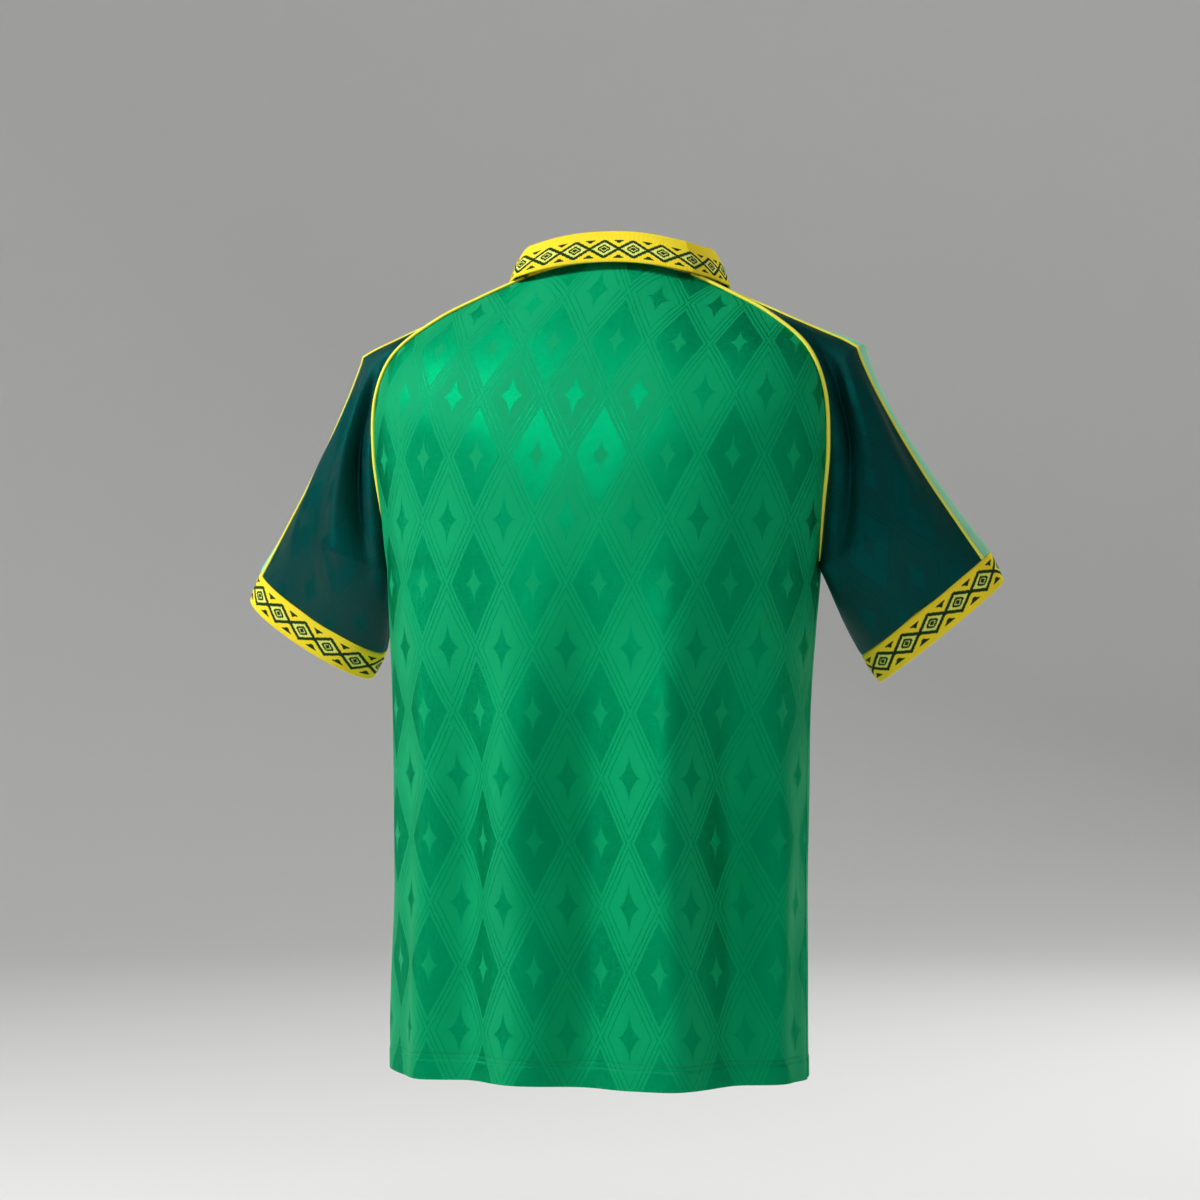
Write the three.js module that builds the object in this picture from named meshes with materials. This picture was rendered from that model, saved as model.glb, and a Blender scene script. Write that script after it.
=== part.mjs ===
// A short-sleeved raglan football jersey in the hollow shape that it has when it is worn.
// Millimetres, +Z up. The front faces -Y and the garment's left side is +X.
// The origin lies on the upright axis of the hem, level with the shoulder beside the collar.
import * as THREE from "three";

// Driving dimensions.
const wall = 2;
const seamInset = 0.3;
const collarGap = 0.15;
const hemLevel = -729;
const neckLean = -8;
const leanPower = 10;
const cuffDepth = 31;
const cuffRows = [0, 0.5, 1];
const bandHalfWidth = 21;
const bandHeight = 1;
const bandGap = 0.9;
const bandSideGap = 0.4;
const bandShares = [1, 0.67, 0.33, 0, -0.33, -0.67, -1];
const steepGapLimit = 0.05;
const raglanPiping = { halfWidth: 2, height: 1.6, gap: 0.85 };
const bandPiping = { halfWidth: 1.5, height: 1.7, gap: 0.9 };
const pipingFlank = { inward: 0.25, height: 0.7 };
const ringHandle = 4 / 3;
const foldFree = 0.06;

// Where the shoulder comes to a point, and where each sleeve's top edge reaches its cuff from there.
const shoulder = { x: 241, y: -26, z: -58 };
const arms = [
  { name: "left", side: 1, out: 117, forward: 38, down: 204 },
  { name: "right", side: -1, out: 113, forward: 43, down: 189 },
];
const shoulderAt = 1.43;
const underSleeve = { x: 234, y: -68, z: -343 };
const cuffEnd = { topOut: 13, topForward: 4, topDown: 28, underOut: 15, underForward: 7, underDown: 24 };

// A row's place, at, is 1 at the underarm and 2 at the neck, with the same spacing further down.
const hemAt = -0.334;
const cuffAt = 0.75;

// Side seam from the hem to the underarm.
const sideSeam = [
  { at: hemAt, x: 198, y: 6, z: hemLevel },
  { at: 0.12, x: 196, y: 5, z: -570 },
  { at: 0.59, x: 198, y: 1, z: -405 },
  { at: 0.84, x: 202, y: -4, z: -318 },
  { at: 1, x: 206, y: -9, z: -262 },
];

// Raglan seams from the underarm to the neck.
const backRaglan = [
  { at: 1, x: 206, y: -9, z: -262 },
  { at: 1.14, x: 212, y: 4, z: -205 },
  { at: 1.29, x: 217, y: 13, z: -152 },
  { at: 1.43, x: 214, y: 20, z: -101 },
  { at: 1.57, x: 197, y: 23, z: -61 },
  { at: 1.71, x: 160, y: 19, z: -31 },
  { at: 1.86, x: 118, y: 13, z: -9 },
  { at: 2, x: 76, y: 8, z: 10 },
];
const frontRaglan = [
  { at: 1, x: 206, y: -9, z: -262 },
  { at: 1.14, x: 205, y: -46, z: -207 },
  { at: 1.29, x: 202, y: -70, z: -157 },
  { at: 1.43, x: 196, y: -83, z: -112 },
  { at: 1.57, x: 182, y: -90, z: -75 },
  { at: 1.71, x: 152, y: -91, z: -48 },
  { at: 1.86, x: 116, y: -89, z: -30 },
  { at: 2, x: 80, y: -84, z: -14 },
];

// Middle line of each body panel, how far a row runs flat from it, and how the row turns at the edge.
const backRows = [
  { at: hemAt, y: 119, z: hemLevel, reach: 120, turnX: 0, turnY: 68, turnZ: 0 },
  { at: 0.12, y: 118, z: -570, reach: 118, turnX: 0, turnY: 68, turnZ: 0 },
  { at: 0.59, y: 119, z: -405, reach: 119, turnX: 0, turnY: 71, turnZ: 0 },
  { at: 1, y: 120, z: -264, reach: 123, turnX: 0, turnY: 79, turnZ: 0 },
  { at: 1.14, y: 119, z: -224, reach: 118, turnX: -5, turnY: 65, turnZ: -2 },
  { at: 1.29, y: 115, z: -182, reach: 115, turnX: -10, turnY: 57, turnZ: -4 },
  { at: 1.43, y: 107, z: -142, reach: 112, turnX: -16, turnY: 53, turnZ: -6 },
  { at: 1.57, y: 93, z: -102, reach: 99, turnX: -32, turnY: 42, turnZ: -8 },
  { at: 1.71, y: 72, z: -62, reach: 80, turnX: -42, turnY: 29, turnZ: -8 },
  { at: 1.86, y: 45, z: -20, reach: 56, turnX: -37, turnY: 18, turnZ: -1 },
  { at: 2, y: 18, z: 21, reach: 34, turnX: -24, turnY: 11, turnZ: 6 },
];
const frontRows = [
  { at: hemAt, y: -104, z: hemLevel, reach: 118, turnX: 0, turnY: -64, turnZ: 0 },
  { at: 0.12, y: -110, z: -570, reach: 116, turnX: 0, turnY: -66, turnZ: 0 },
  { at: 0.59, y: -123, z: -405, reach: 117, turnX: 0, turnY: -72, turnZ: 0 },
  { at: 1, y: -135, z: -262, reach: 120, turnX: 0, turnY: -72, turnZ: 0 },
  { at: 1.14, y: -136, z: -238, reach: 106, turnX: -18, turnY: -53, turnZ: -2 },
  { at: 1.29, y: -136, z: -214, reach: 96, turnX: -26, turnY: -42, turnZ: -6 },
  { at: 1.43, y: -135, z: -190, reach: 89, turnX: -34, turnY: -34, turnZ: -12 },
  { at: 1.57, y: -133, z: -166, reach: 82, turnX: -42, turnY: -27, turnZ: -20 },
  { at: 1.71, y: -130, z: -142, reach: 74, turnX: -42, turnY: -20, turnZ: -26 },
  { at: 1.86, y: -125, z: -117, reach: 50, turnX: -34, turnY: -13, turnZ: -30 },
  { at: 2, y: -118, z: -92, reach: 27, turnX: -27, turnY: -11, turnZ: -27 },
];

// How far the front rows rise from the middle as the neck's V comes near.
const neckRise = { height: 27, from: 1.5, to: 2, power: 2 };

// Top line of the sleeve: a share of the arm's fall up to the shoulder point, and then places up to the neck.
const armFall = [
  { at: cuffAt, down: 1 },
  { at: 0.87, down: 0.86 },
  { at: 1, down: 0.7 },
  { at: 1.14, down: 0.5 },
  { at: 1.29, down: 0.25 },
  { at: 1.37, down: 0.1 },
  { at: shoulderAt, down: 0 },
];
const outPower = 1.3;
const underSag = 3;
const shoulderLine = [
  { at: shoulderAt, x: shoulder.x, y: shoulder.y, z: shoulder.z },
  { at: 1.48, x: 229, y: -26, z: -52 },
  { at: 1.57, x: 207, y: -26, z: -44 },
  { at: 1.71, x: 172, y: -29, z: -31 },
  { at: 1.86, x: 132, y: -37, z: -14 },
  { at: 2, x: 92, y: -45, z: 2 },
];

// How far each sleeve row runs level from the top line, and how it turns at the back and front seams.
// Below the underarm the row is a ring, with a depth behind and in front of its middle.
const sleeveRings = [
  { at: cuffAt, behind: 36, before: 36 },
  { at: 0.87, behind: 39, before: 42 },
  { at: 1, behind: 43, before: 49 },
];
const ringTilt = { x: 0.11, y: 0.98, z: -0.15 };
const sleeveBack = [
  { at: 1, level: 57.3, turnX: 6.3, turnY: 56.2, turnZ: -8.6 },
  { at: 1.14, level: 56, turnX: 21, turnY: 37, turnZ: 4 },
  { at: 1.29, level: 47, turnX: 24, turnY: 16, turnZ: 14 },
  { at: 1.43, level: 28, turnX: 9, turnY: 0, turnZ: 24 },
  { at: 1.57, level: 22, turnX: 5, turnY: -9, turnZ: 9 },
  { at: 1.71, level: 18, turnX: 4, turnY: -16, turnZ: 4 },
  { at: 1.86, level: 17, turnX: 5, turnY: -17, turnZ: 0 },
  { at: 2, level: 18, turnX: 11, turnY: -16, turnZ: -4 },
];
const sleeveFront = [
  { at: 1, level: 65.3, turnX: -7.2, turnY: -64, turnZ: 9.8 },
  { at: 1.14, level: 58, turnX: 18, turnY: -35, turnZ: 8 },
  { at: 1.29, level: 48, turnX: 24, turnY: -20, turnZ: 16 },
  { at: 1.43, level: 34, turnX: 18, turnY: -6, turnZ: 26 },
  { at: 1.57, level: 26, turnX: 11, turnY: 8, turnZ: 16 },
  { at: 1.71, level: 20, turnX: 6, turnY: 14, turnZ: 10 },
  { at: 1.86, level: 17, turnX: 5, turnY: 13, turnZ: 7 },
  { at: 2, level: 14, turnX: 5, turnY: 11, turnZ: 7 },
];

// Largest folds. Place is -1 to 1 across a panel, or 0 to 1 round a sleeve from back seam to front seam,
// and drift is how far it moves for each unit of at below the underarm. A fold ends at low and high,
// where it fades out over the distance fade.
const backFolds = [
  { place: 0.47, drift: 0.02, width: 0.085, depth: 4, low: -1, high: 1.05, fade: 0.9 },
  { place: 0.31, drift: 0, width: 0.08, depth: -4, low: -1, high: 1.05, fade: 0.9 },
  { place: 0.125, drift: 0.02, width: 0.1, depth: 6, low: -1, high: 1.2, fade: 0.9 },
  { place: -0.06, drift: 0, width: 0.085, depth: -5, low: -1, high: 1.15, fade: 0.9 },
  { place: -0.28, drift: -0.02, width: 0.1, depth: 6, low: -1, high: 1.25, fade: 0.9 },
  { place: -0.52, drift: -0.02, width: 0.1, depth: -6, low: -1, high: 1.1, fade: 0.9 },
  { place: -0.72, drift: -0.02, width: 0.08, depth: 3, low: -1, high: 0.95, fade: 0.9 },
];
const frontFolds = [
  { place: 0.55, drift: 0.02, width: 0.09, depth: 4, low: -1, high: 1, fade: 0.9 },
  { place: 0.36, drift: 0.02, width: 0.08, depth: -4, low: -1, high: 1.1, fade: 0.9 },
  { place: 0.15, drift: 0, width: 0.09, depth: 4, low: -1, high: 0.9, fade: 0.9 },
  { place: -0.05, drift: 0, width: 0.09, depth: -4, low: -1, high: 0.8, fade: 0.9 },
  { place: -0.26, drift: -0.02, width: 0.09, depth: 5, low: -1, high: 1.05, fade: 0.9 },
  { place: -0.46, drift: -0.02, width: 0.08, depth: -4, low: -1, high: 1.1, fade: 0.9 },
];
const sleeveFolds = {
  left: [
    { place: 0.25, drift: 0.1, width: 0.055, depth: 4, low: 0.8, high: 1.5, fade: 0.3 },
    { place: 0.12, drift: 0, width: 0.05, depth: -6, low: 0.85, high: 1.55, fade: 0.3 },
    { place: 0.82, drift: 0, width: 0.06, depth: -5, low: 0.85, high: 1.5, fade: 0.3 },
  ],
  right: [
    { place: 0.14, drift: 0, width: 0.055, depth: -6, low: 0.85, high: 1.6, fade: 0.3 },
    { place: 0.27, drift: 0.1, width: 0.055, depth: 4, low: 0.8, high: 1.5, fade: 0.3 },
    { place: 0.82, drift: 0, width: 0.06, depth: -5, low: 0.85, high: 1.5, fade: 0.3 },
  ],
};

// Where mesh rows lie along the body, the raglan seams and the sleeve.
const lowerRows = [hemAt, -0.13, 0.07, 0.28, 0.49, 0.68, 0.85, 1];
const upperRows = [1.07, 1.14, 1.22, 1.29, 1.36, 1.43, 1.5, 1.57, 1.64, 1.71, 1.79, 1.86, 1.93, 1.985, 2];
const armRows = [cuffAt, 0.82, 0.88, 0.94, 1];

// Where mesh columns lie on each half of a body panel, and round a sleeve.
const halfColumns = [0, 0.06, 0.125, 0.21, 0.3, 0.39, 0.48, 0.58, 0.7, 0.83, 0.93, 1];
const sleevePlaces = [0, 0.05, 0.1, 0.15, 0.2, 0.26, 0.32, 0.38, 0.44, 0.5, 0.56, 0.63, 0.7, 0.76, 0.82, 0.88, 0.94, 1];

// Collar fold and leaf edge, measured from the neck seam. Along is 0 at the front point, 1 at the front
// raglan seam, 2 on the shoulder, 3 at the back raglan seam and 4 at the middle of the back.
const collarRows = [
  { at: 0, foldX: 1.5, foldY: -7, foldZ: 3, edgeX: 30, edgeY: -13, edgeZ: -34 },
  { at: 0.5, foldX: -7, foldY: -7, foldZ: 13, edgeX: 27, edgeY: -22, edgeZ: -32 },
  { at: 1, foldX: -11, foldY: -3, foldZ: 26, edgeX: 13, edgeY: -20, edgeZ: -13 },
  { at: 1.5, foldX: -9, foldY: 0, foldZ: 31, edgeX: 12, edgeY: -9, edgeZ: 0 },
  { at: 2, foldX: -5, foldY: 2, foldZ: 34, edgeX: 13, edgeY: 1, edgeZ: 1 },
  { at: 3, foldX: -3, foldY: -2, foldZ: 29, edgeX: 10, edgeY: 12, edgeZ: -1 },
  { at: 4, foldX: 0, foldY: -3, foldZ: 28, edgeX: 0, edgeY: 12, edgeZ: -1 },
];
const foldRadius = 3.2;
const foldRadiusShare = 0.6;
const foldTurn = 0.9 * Math.PI;
const standSteps = 3;
const foldSteps = 4;
const leafSteps = 4;
const leafBelly = 1.5;

// Smooth value of one column of a table, at a place between its rows.
function tableValue(table, key, at) {
  const last = table.length - 1;
  let low = 0;
  while (low < last - 1 && at > table[low + 1].at) low++;
  const slope = (k) => {
    const before = table[Math.max(k - 1, 0)];
    const after = table[Math.min(k + 1, last)];
    return (after[key] - before[key]) / (after.at - before.at);
  };
  const [p, q] = [table[low], table[low + 1]];
  const span = q.at - p.at;
  const t = THREE.MathUtils.clamp((at - p.at) / span, 0, 1);
  const [t2, t3] = [t * t, t * t * t];
  return (
    (2 * t3 - 3 * t2 + 1) * p[key] +
    (t3 - 2 * t2 + t) * span * slope(low) +
    (3 * t2 - 2 * t3) * q[key] +
    (t3 - t2) * span * slope(low + 1)
  );
}

const tablePoint = (table, at) =>
  new THREE.Vector3(tableValue(table, "x", at), tableValue(table, "y", at), tableValue(table, "z", at));

const turnVector = (table, at) =>
  new THREE.Vector3(
    tableValue(table, "turnX", at),
    tableValue(table, "turnY", at),
    tableValue(table, "turnZ", at),
  );

// Point on a cubic curve with its four control points.
function cubic(a, b, c, d, t) {
  const s = 1 - t;
  return new THREE.Vector3()
    .addScaledVector(a, s * s * s)
    .addScaledVector(b, 3 * s * s * t)
    .addScaledVector(c, 3 * s * t * t)
    .addScaledVector(d, t * t * t);
}

// The worn garment leans a little to its right towards the neck.
function leaned(p) {
  const rise = Math.max(0, 1 - p.z / hemLevel);
  p.x += neckLean * Math.pow(rise, leanPower);
  return p;
}

// Height that the folds add at a place on a panel.
function foldHeight(folds, place, at) {
  let height = 0;
  for (const fold of folds) {
    const centre = fold.place + fold.drift * (1 - at);
    const above = THREE.MathUtils.smoothstep(fold.high - at, 0, fold.fade);
    const below = THREE.MathUtils.smoothstep(at - fold.low, 0, fold.fade);
    height += fold.depth * above * below * Math.exp(-(((place - centre) / fold.width) ** 2));
  }
  return height;
}

// Edge of a body panel on the +X side: side seam below the underarm, raglan seam above it.
const panelEdge = (raglan, at) => tablePoint(at < 1 ? sideSeam : raglan, at);

function bodyPoint(rows, raglan, place, at) {
  const side = place < 0 ? -1 : 1;
  const middle = new THREE.Vector3(0, tableValue(rows, "y", at), tableValue(rows, "z", at));
  const edge = panelEdge(raglan, at);
  const level = middle.clone().add(new THREE.Vector3(tableValue(rows, "reach", at), 0, 0));
  if (rows === frontRows)
    level.z += neckRise.height * THREE.MathUtils.smoothstep(at, neckRise.from, neckRise.to) ** neckRise.power;
  const turn = edge.clone().add(turnVector(rows, at));
  const point = cubic(middle, level, turn, edge, Math.abs(place));
  point.x *= side;
  return leaned(point);
}

// Top line of a sleeve, before the lean, on the +X side.
function sleeveTop(arm, at) {
  if (at >= shoulderAt) return tablePoint(shoulderLine, at);
  const down = tableValue(armFall, "down", at);
  return new THREE.Vector3(
    shoulder.x + arm.out * Math.pow(down, outPower),
    shoulder.y - arm.forward * down,
    shoulder.z - arm.down * down,
  );
}

// Underarm line of a sleeve, from the cuff to the underarm.
function sleeveUnder(at) {
  const end = tablePoint(sideSeam, 1);
  const start = new THREE.Vector3(underSleeve.x, underSleeve.y, underSleeve.z);
  const share = (at - cuffAt) / (1 - cuffAt);
  start.x -= underSag * Math.sin(Math.PI * share);
  return start.lerp(end, share);
}

// Round a sleeve, place goes from 0 at the back seam over 0.5 on the top line to 1 at the front seam.
function sleevePoint(arm, place, at) {
  const back = place < 0.5;
  const sign = back ? 1 : -1;
  const top = sleeveTop(arm, at);
  const tilt = new THREE.Vector3(ringTilt.x, ringTilt.y, ringTilt.z).multiplyScalar(sign);
  let edge, turn, level;
  if (at <= 1) {
    const reach = ringHandle * tableValue(sleeveRings, back ? "behind" : "before", at);
    edge = sleeveUnder(at);
    turn = edge.clone().addScaledVector(tilt, reach);
    level = top.clone().addScaledVector(tilt, reach);
  } else {
    const table = back ? sleeveBack : sleeveFront;
    edge = tablePoint(back ? backRaglan : frontRaglan, at);
    turn = edge.clone().add(turnVector(table, at));
    const square = THREE.MathUtils.smoothstep(at, 1, shoulderAt);
    tilt.lerp(new THREE.Vector3(0, sign, 0), square);
    level = top.clone().addScaledVector(tilt, tableValue(table, "level", at));
  }
  const point = cubic(top, level, turn, edge, Math.abs(place - 0.5) * 2);
  point.x *= arm.side;
  return leaned(point);
}

// Grid of points, one list for each row, and its normals facing away from the garment's hollow.
function makeGrid(pointAt, places, ats, facing) {
  const points = ats.map((at) => places.map((place) => pointAt(place, at)));
  return { points, normals: gridNormals(points, facing), facing };
}

function gridNormals(points, facing) {
  const [lastRow, lastColumn] = [points.length - 1, points[0].length - 1];
  return points.map((row, i) =>
    row.map((_, j) => {
      const across = points[i][Math.min(j + 1, lastColumn)].clone().sub(points[i][Math.max(j - 1, 0)]);
      const along = points[Math.min(i + 1, lastRow)][j].clone().sub(points[Math.max(i - 1, 0)][j]);
      return across.cross(along).normalize().multiplyScalar(facing);
    }),
  );
}

// Moves each point out along its normal by the folds there. Seams and edges keep their place.
function addFolds(grid, folds, places, ats) {
  const [first, last] = [places[0], places[places.length - 1]];
  grid.points.forEach((row, i) =>
    row.forEach((p, j) => {
      const fromEdge = Math.min(places[j] - first, last - places[j]) / (last - first);
      const free = THREE.MathUtils.smoothstep(fromEdge, 0, foldFree);
      p.addScaledVector(grid.normals[i][j], free * foldHeight(folds, places[j], ats[i]));
    }),
  );
  grid.normals = gridNormals(grid.points, grid.facing);
}

// Gives all the normals that meet at one place their mean, so that neighbouring walls stay parallel.
function shareNormal(...places) {
  const mean = new THREE.Vector3();
  places.forEach(([grid, i, j]) => mean.add(grid.normals[i][j]));
  mean.normalize();
  places.forEach(([grid, i, j]) => grid.normals[i][j].copy(mean));
}

// Draws an edge of a grid back into its own surface, square to the edge.
function insetEdges(points, openColumns, amount) {
  const copy = points.map((row) => row.map((p) => p.clone()));
  const [lastRow, lastColumn] = [points.length - 1, points[0].length - 1];
  const pull = (i, j, inner, beforeEdge, afterEdge) => {
    const along = afterEdge.clone().sub(beforeEdge).normalize();
    const inward = inner.clone().sub(points[i][j]);
    inward.addScaledVector(along, -inward.dot(along)).normalize();
    copy[i][j].addScaledVector(inward, amount);
  };
  for (let j = 0; j <= lastColumn; j++) {
    const [before, after] = [Math.max(j - 1, 0), Math.min(j + 1, lastColumn)];
    pull(0, j, points[1][j], points[0][before], points[0][after]);
    pull(lastRow, j, points[lastRow - 1][j], points[lastRow][before], points[lastRow][after]);
  }
  if (openColumns)
    for (let i = 0; i <= lastRow; i++) {
      const [before, after] = [Math.max(i - 1, 0), Math.min(i + 1, lastRow)];
      pull(i, 0, points[i][1], points[before][0], points[after][0]);
      pull(i, lastColumn, points[i][lastColumn - 1], points[before][lastColumn], points[after][lastColumn]);
    }
  return copy;
}

// Closed body between an outer and an inner layer of points. A ring's last column joins its first.
function layeredSolid(outer, inner, ring) {
  const [rows, columns] = [outer.length, outer[0].length];
  const positions = [outer, inner].flatMap((layer) => layer.flat().flatMap((p) => [p.x, p.y, p.z]));
  const index = [];
  const id = (layer, i, j) => layer * rows * columns + i * columns + (j % columns);
  const quad = (a, b, c, d) => index.push(a, b, c, a, c, d);
  const lastColumn = ring ? columns : columns - 1;
  for (let i = 0; i < rows - 1; i++)
    for (let j = 0; j < lastColumn; j++) {
      quad(id(0, i, j), id(0, i, j + 1), id(0, i + 1, j + 1), id(0, i + 1, j));
      quad(id(1, i, j), id(1, i + 1, j), id(1, i + 1, j + 1), id(1, i, j + 1));
    }
  for (let j = 0; j < lastColumn; j++) {
    quad(id(0, 0, j), id(1, 0, j), id(1, 0, j + 1), id(0, 0, j + 1));
    quad(id(0, rows - 1, j), id(0, rows - 1, j + 1), id(1, rows - 1, j + 1), id(1, rows - 1, j));
  }
  if (!ring)
    for (let i = 0; i < rows - 1; i++) {
      quad(id(0, i, 0), id(0, i + 1, 0), id(1, i + 1, 0), id(1, i, 0));
      quad(id(0, i, lastColumn), id(1, i, lastColumn), id(1, i + 1, lastColumn), id(0, i + 1, lastColumn));
    }
  const geometry = new THREE.BufferGeometry();
  geometry.setAttribute("position", new THREE.Float32BufferAttribute(positions, 3));
  if (signedVolume(positions, index) < 0) index.reverse();
  geometry.setIndex(index);
  geometry.computeVertexNormals();
  return geometry;
}

function signedVolume(positions, index) {
  const corner = (k) => new THREE.Vector3().fromArray(positions, index[k] * 3);
  let volume = 0;
  for (let k = 0; k < index.length; k += 3) volume += corner(k).dot(corner(k + 1).cross(corner(k + 2))) / 6;
  return volume;
}

// Cloth wall whose outer face is the grid, drawn back from its seams.
function clothWall(grid, thickness) {
  const outer = insetEdges(grid.points, true, seamInset);
  const inner = outer.map((row, i) => row.map((p, j) => p.clone().addScaledVector(grid.normals[i][j], -thickness)));
  return layeredSolid(outer, inner, false);
}

// The four panels.
const bodyPlaces = [...halfColumns.slice(1).reverse().map((place) => -place), ...halfColumns];
const bodyColumns = bodyPlaces.length - 1;
const sleeveColumns = sleevePlaces.length - 1;
const topColumn = sleevePlaces.indexOf(0.5);
const bodyAts = [...lowerRows, ...upperRows];
const sleeveAts = [...armRows, ...upperRows];
const back = makeGrid((place, at) => bodyPoint(backRows, backRaglan, place, at), bodyPlaces, bodyAts, -1);
const front = makeGrid((place, at) => bodyPoint(frontRows, frontRaglan, place, at), bodyPlaces, bodyAts, 1);
addFolds(back, backFolds, bodyPlaces, bodyAts);
addFolds(front, frontFolds, bodyPlaces, bodyAts);
const sleeves = arms.map((arm) => {
  const grid = makeGrid((place, at) => sleevePoint(arm, place, at), sleevePlaces, sleeveAts, -arm.side);
  addFolds(grid, sleeveFolds[arm.name], sleevePlaces, sleeveAts);
  return grid;
});

// Neighbouring panels share their normals along the side, raglan and underarm seams.
const bodyArmpit = lowerRows.length - 1;
const sleeveArmpit = armRows.length - 1;
arms.forEach((arm, k) => {
  const edge = arm.side > 0 ? bodyColumns : 0;
  const sleeve = sleeves[k];
  for (let i = 0; i < bodyArmpit; i++) shareNormal([back, i, edge], [front, i, edge]);
  for (let i = 0; i < sleeveArmpit; i++) shareNormal([sleeve, i, 0], [sleeve, i, sleeveColumns]);
  shareNormal(
    [back, bodyArmpit, edge],
    [front, bodyArmpit, edge],
    [sleeve, sleeveArmpit, 0],
    [sleeve, sleeveArmpit, sleeveColumns],
  );
  for (let i = 1; i <= upperRows.length; i++) {
    shareNormal([back, bodyArmpit + i, edge], [sleeve, sleeveArmpit + i, 0]);
    shareNormal([front, bodyArmpit + i, edge], [sleeve, sleeveArmpit + i, sleeveColumns]);
  }
});

// Cuff: a ring that carries on from the sleeve's lowest row.
function cuffSolid(arm, sleeve) {
  const ring = sleeve.points[0].slice(0, sleeveColumns);
  const normals = sleeve.normals[0].slice(0, sleeveColumns);
  const start = seamInset * 2;
  const rows = cuffRows.map((t) =>
    ring.map((p, j) => {
      const topShare = (1 - Math.cos(2 * Math.PI * sleevePlaces[j])) / 2;
      const fall = new THREE.Vector3(
        arm.side * THREE.MathUtils.lerp(cuffEnd.underOut, cuffEnd.topOut, topShare),
        -THREE.MathUtils.lerp(cuffEnd.underForward, cuffEnd.topForward, topShare),
        -THREE.MathUtils.lerp(cuffEnd.underDown, cuffEnd.topDown, topShare),
      ).setLength(cuffDepth);
      return p.clone().addScaledVector(fall, (start + (cuffDepth - start) * t) / cuffDepth);
    }),
  );
  const inner = rows.map((row) => row.map((p, j) => p.clone().addScaledVector(normals[j], -wall)));
  return layeredSolid(rows, inner, true);
}

// Round trim along a seam line, resting on the surfaces at its two sides.
function trimSolid(stations, shape) {
  const last = stations.length - 1;
  const sections = stations.map(({ p, normal, sides }, i) => {
    const along = stations[Math.min(i + 1, last)].p.clone().sub(stations[Math.max(i - 1, 0)].p).normalize();
    let steepest = 0;
    const [first, second] = sides.map((q) => {
      const away = q.clone().sub(p);
      const across = away.clone().addScaledVector(along, -away.dot(along));
      steepest = Math.max(steepest, across.dot(normal) / across.length());
      return p.clone().addScaledVector(away, Math.min(1, shape.halfWidth / across.length()));
    });
    const gap = shape.gap / Math.sqrt(Math.max(steepGapLimit, 1 - steepest ** 2));
    const raised = (q, height) => q.clone().addScaledVector(normal, height);
    return [
      raised(first, gap),
      raised(first.clone().lerp(p, pipingFlank.inward), gap + shape.height * pipingFlank.height),
      raised(p, gap + shape.height),
      raised(second.clone().lerp(p, pipingFlank.inward), gap + shape.height * pipingFlank.height),
      raised(second, gap),
      raised(p, gap),
    ];
  });
  const size = sections[0].length;
  const positions = sections.flat().flatMap((p) => [p.x, p.y, p.z]);
  const index = [];
  for (let i = 0; i < last; i++)
    for (let j = 0; j < size; j++) {
      const [a, b] = [i * size + j, i * size + ((j + 1) % size)];
      index.push(a, b, b + size, a, b + size, a + size);
    }
  const middle = size - 1;
  for (let j = 0; j < middle - 1; j++) {
    index.push(middle, j + 1, j);
    index.push(last * size + middle, last * size + j, last * size + j + 1);
  }
  if (signedVolume(positions, index) < 0) index.reverse();
  const geometry = new THREE.BufferGeometry();
  geometry.setAttribute("position", new THREE.Float32BufferAttribute(positions, 3));
  geometry.setIndex(index);
  geometry.computeVertexNormals();
  return geometry;
}

// Piping on a raglan seam, from just above the underarm to just under the collar.
function raglanTrim(panel, sleeve, arm, sleeveColumn) {
  const edge = arm.side > 0 ? bodyColumns : 0;
  const beside = arm.side > 0 ? bodyColumns - 1 : 1;
  const besideSleeve = sleeveColumn === 0 ? 1 : sleeveColumns - 1;
  const stations = upperRows.slice(0, -1).map((_, k) => {
    const [row, sleeveRow] = [bodyArmpit + k + 1, sleeveArmpit + k + 1];
    return {
      p: panel.points[row][edge],
      normal: panel.normals[row][edge],
      sides: [panel.points[row][beside], sleeve.points[sleeveRow][besideSleeve]],
    };
  });
  return trimSolid(stations, raglanPiping);
}

// Place on a sleeve row at a distance from the top line, positive towards the back.
function besideTop(sleeve, row, distance) {
  const step = distance > 0 ? -1 : 1;
  let [column, left] = [topColumn, Math.abs(distance)];
  const points = sleeve.points[row];
  let span = points[column].distanceTo(points[column + step]);
  while (left > span) {
    left -= span;
    column += step;
    span = points[column].distanceTo(points[column + step]);
  }
  const t = left / span;
  return {
    p: points[column].clone().lerp(points[column + step], t),
    normal: sleeve.normals[row][column].clone().lerp(sleeve.normals[row][column + step], t).normalize(),
  };
}

const bandRowCount = sleeveAts.length - 1;

// Flat band on top of a sleeve, from the cuff seam to just under the collar.
function bandSolid(sleeve) {
  const inside = bandHalfWidth - bandPiping.halfWidth * 2 - bandSideGap;
  const layer = (height) =>
    Array.from({ length: bandRowCount }, (_, row) =>
      bandShares.map((share) => {
        const { p, normal } = besideTop(sleeve, row, share * inside);
        return p.addScaledVector(normal, height);
      }),
    );
  return layeredSolid(layer(bandGap + bandHeight), layer(bandGap), false);
}

function bandTrim(sleeve, direction) {
  const middle = bandHalfWidth - bandPiping.halfWidth;
  const stations = Array.from({ length: bandRowCount }, (_, row) => {
    const sides = [1, -1].map((k) => besideTop(sleeve, row, direction * (middle + k * bandPiping.halfWidth)).p);
    return { ...besideTop(sleeve, row, direction * middle), sides };
  });
  return trimSolid(stations, bandPiping);
}

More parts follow.
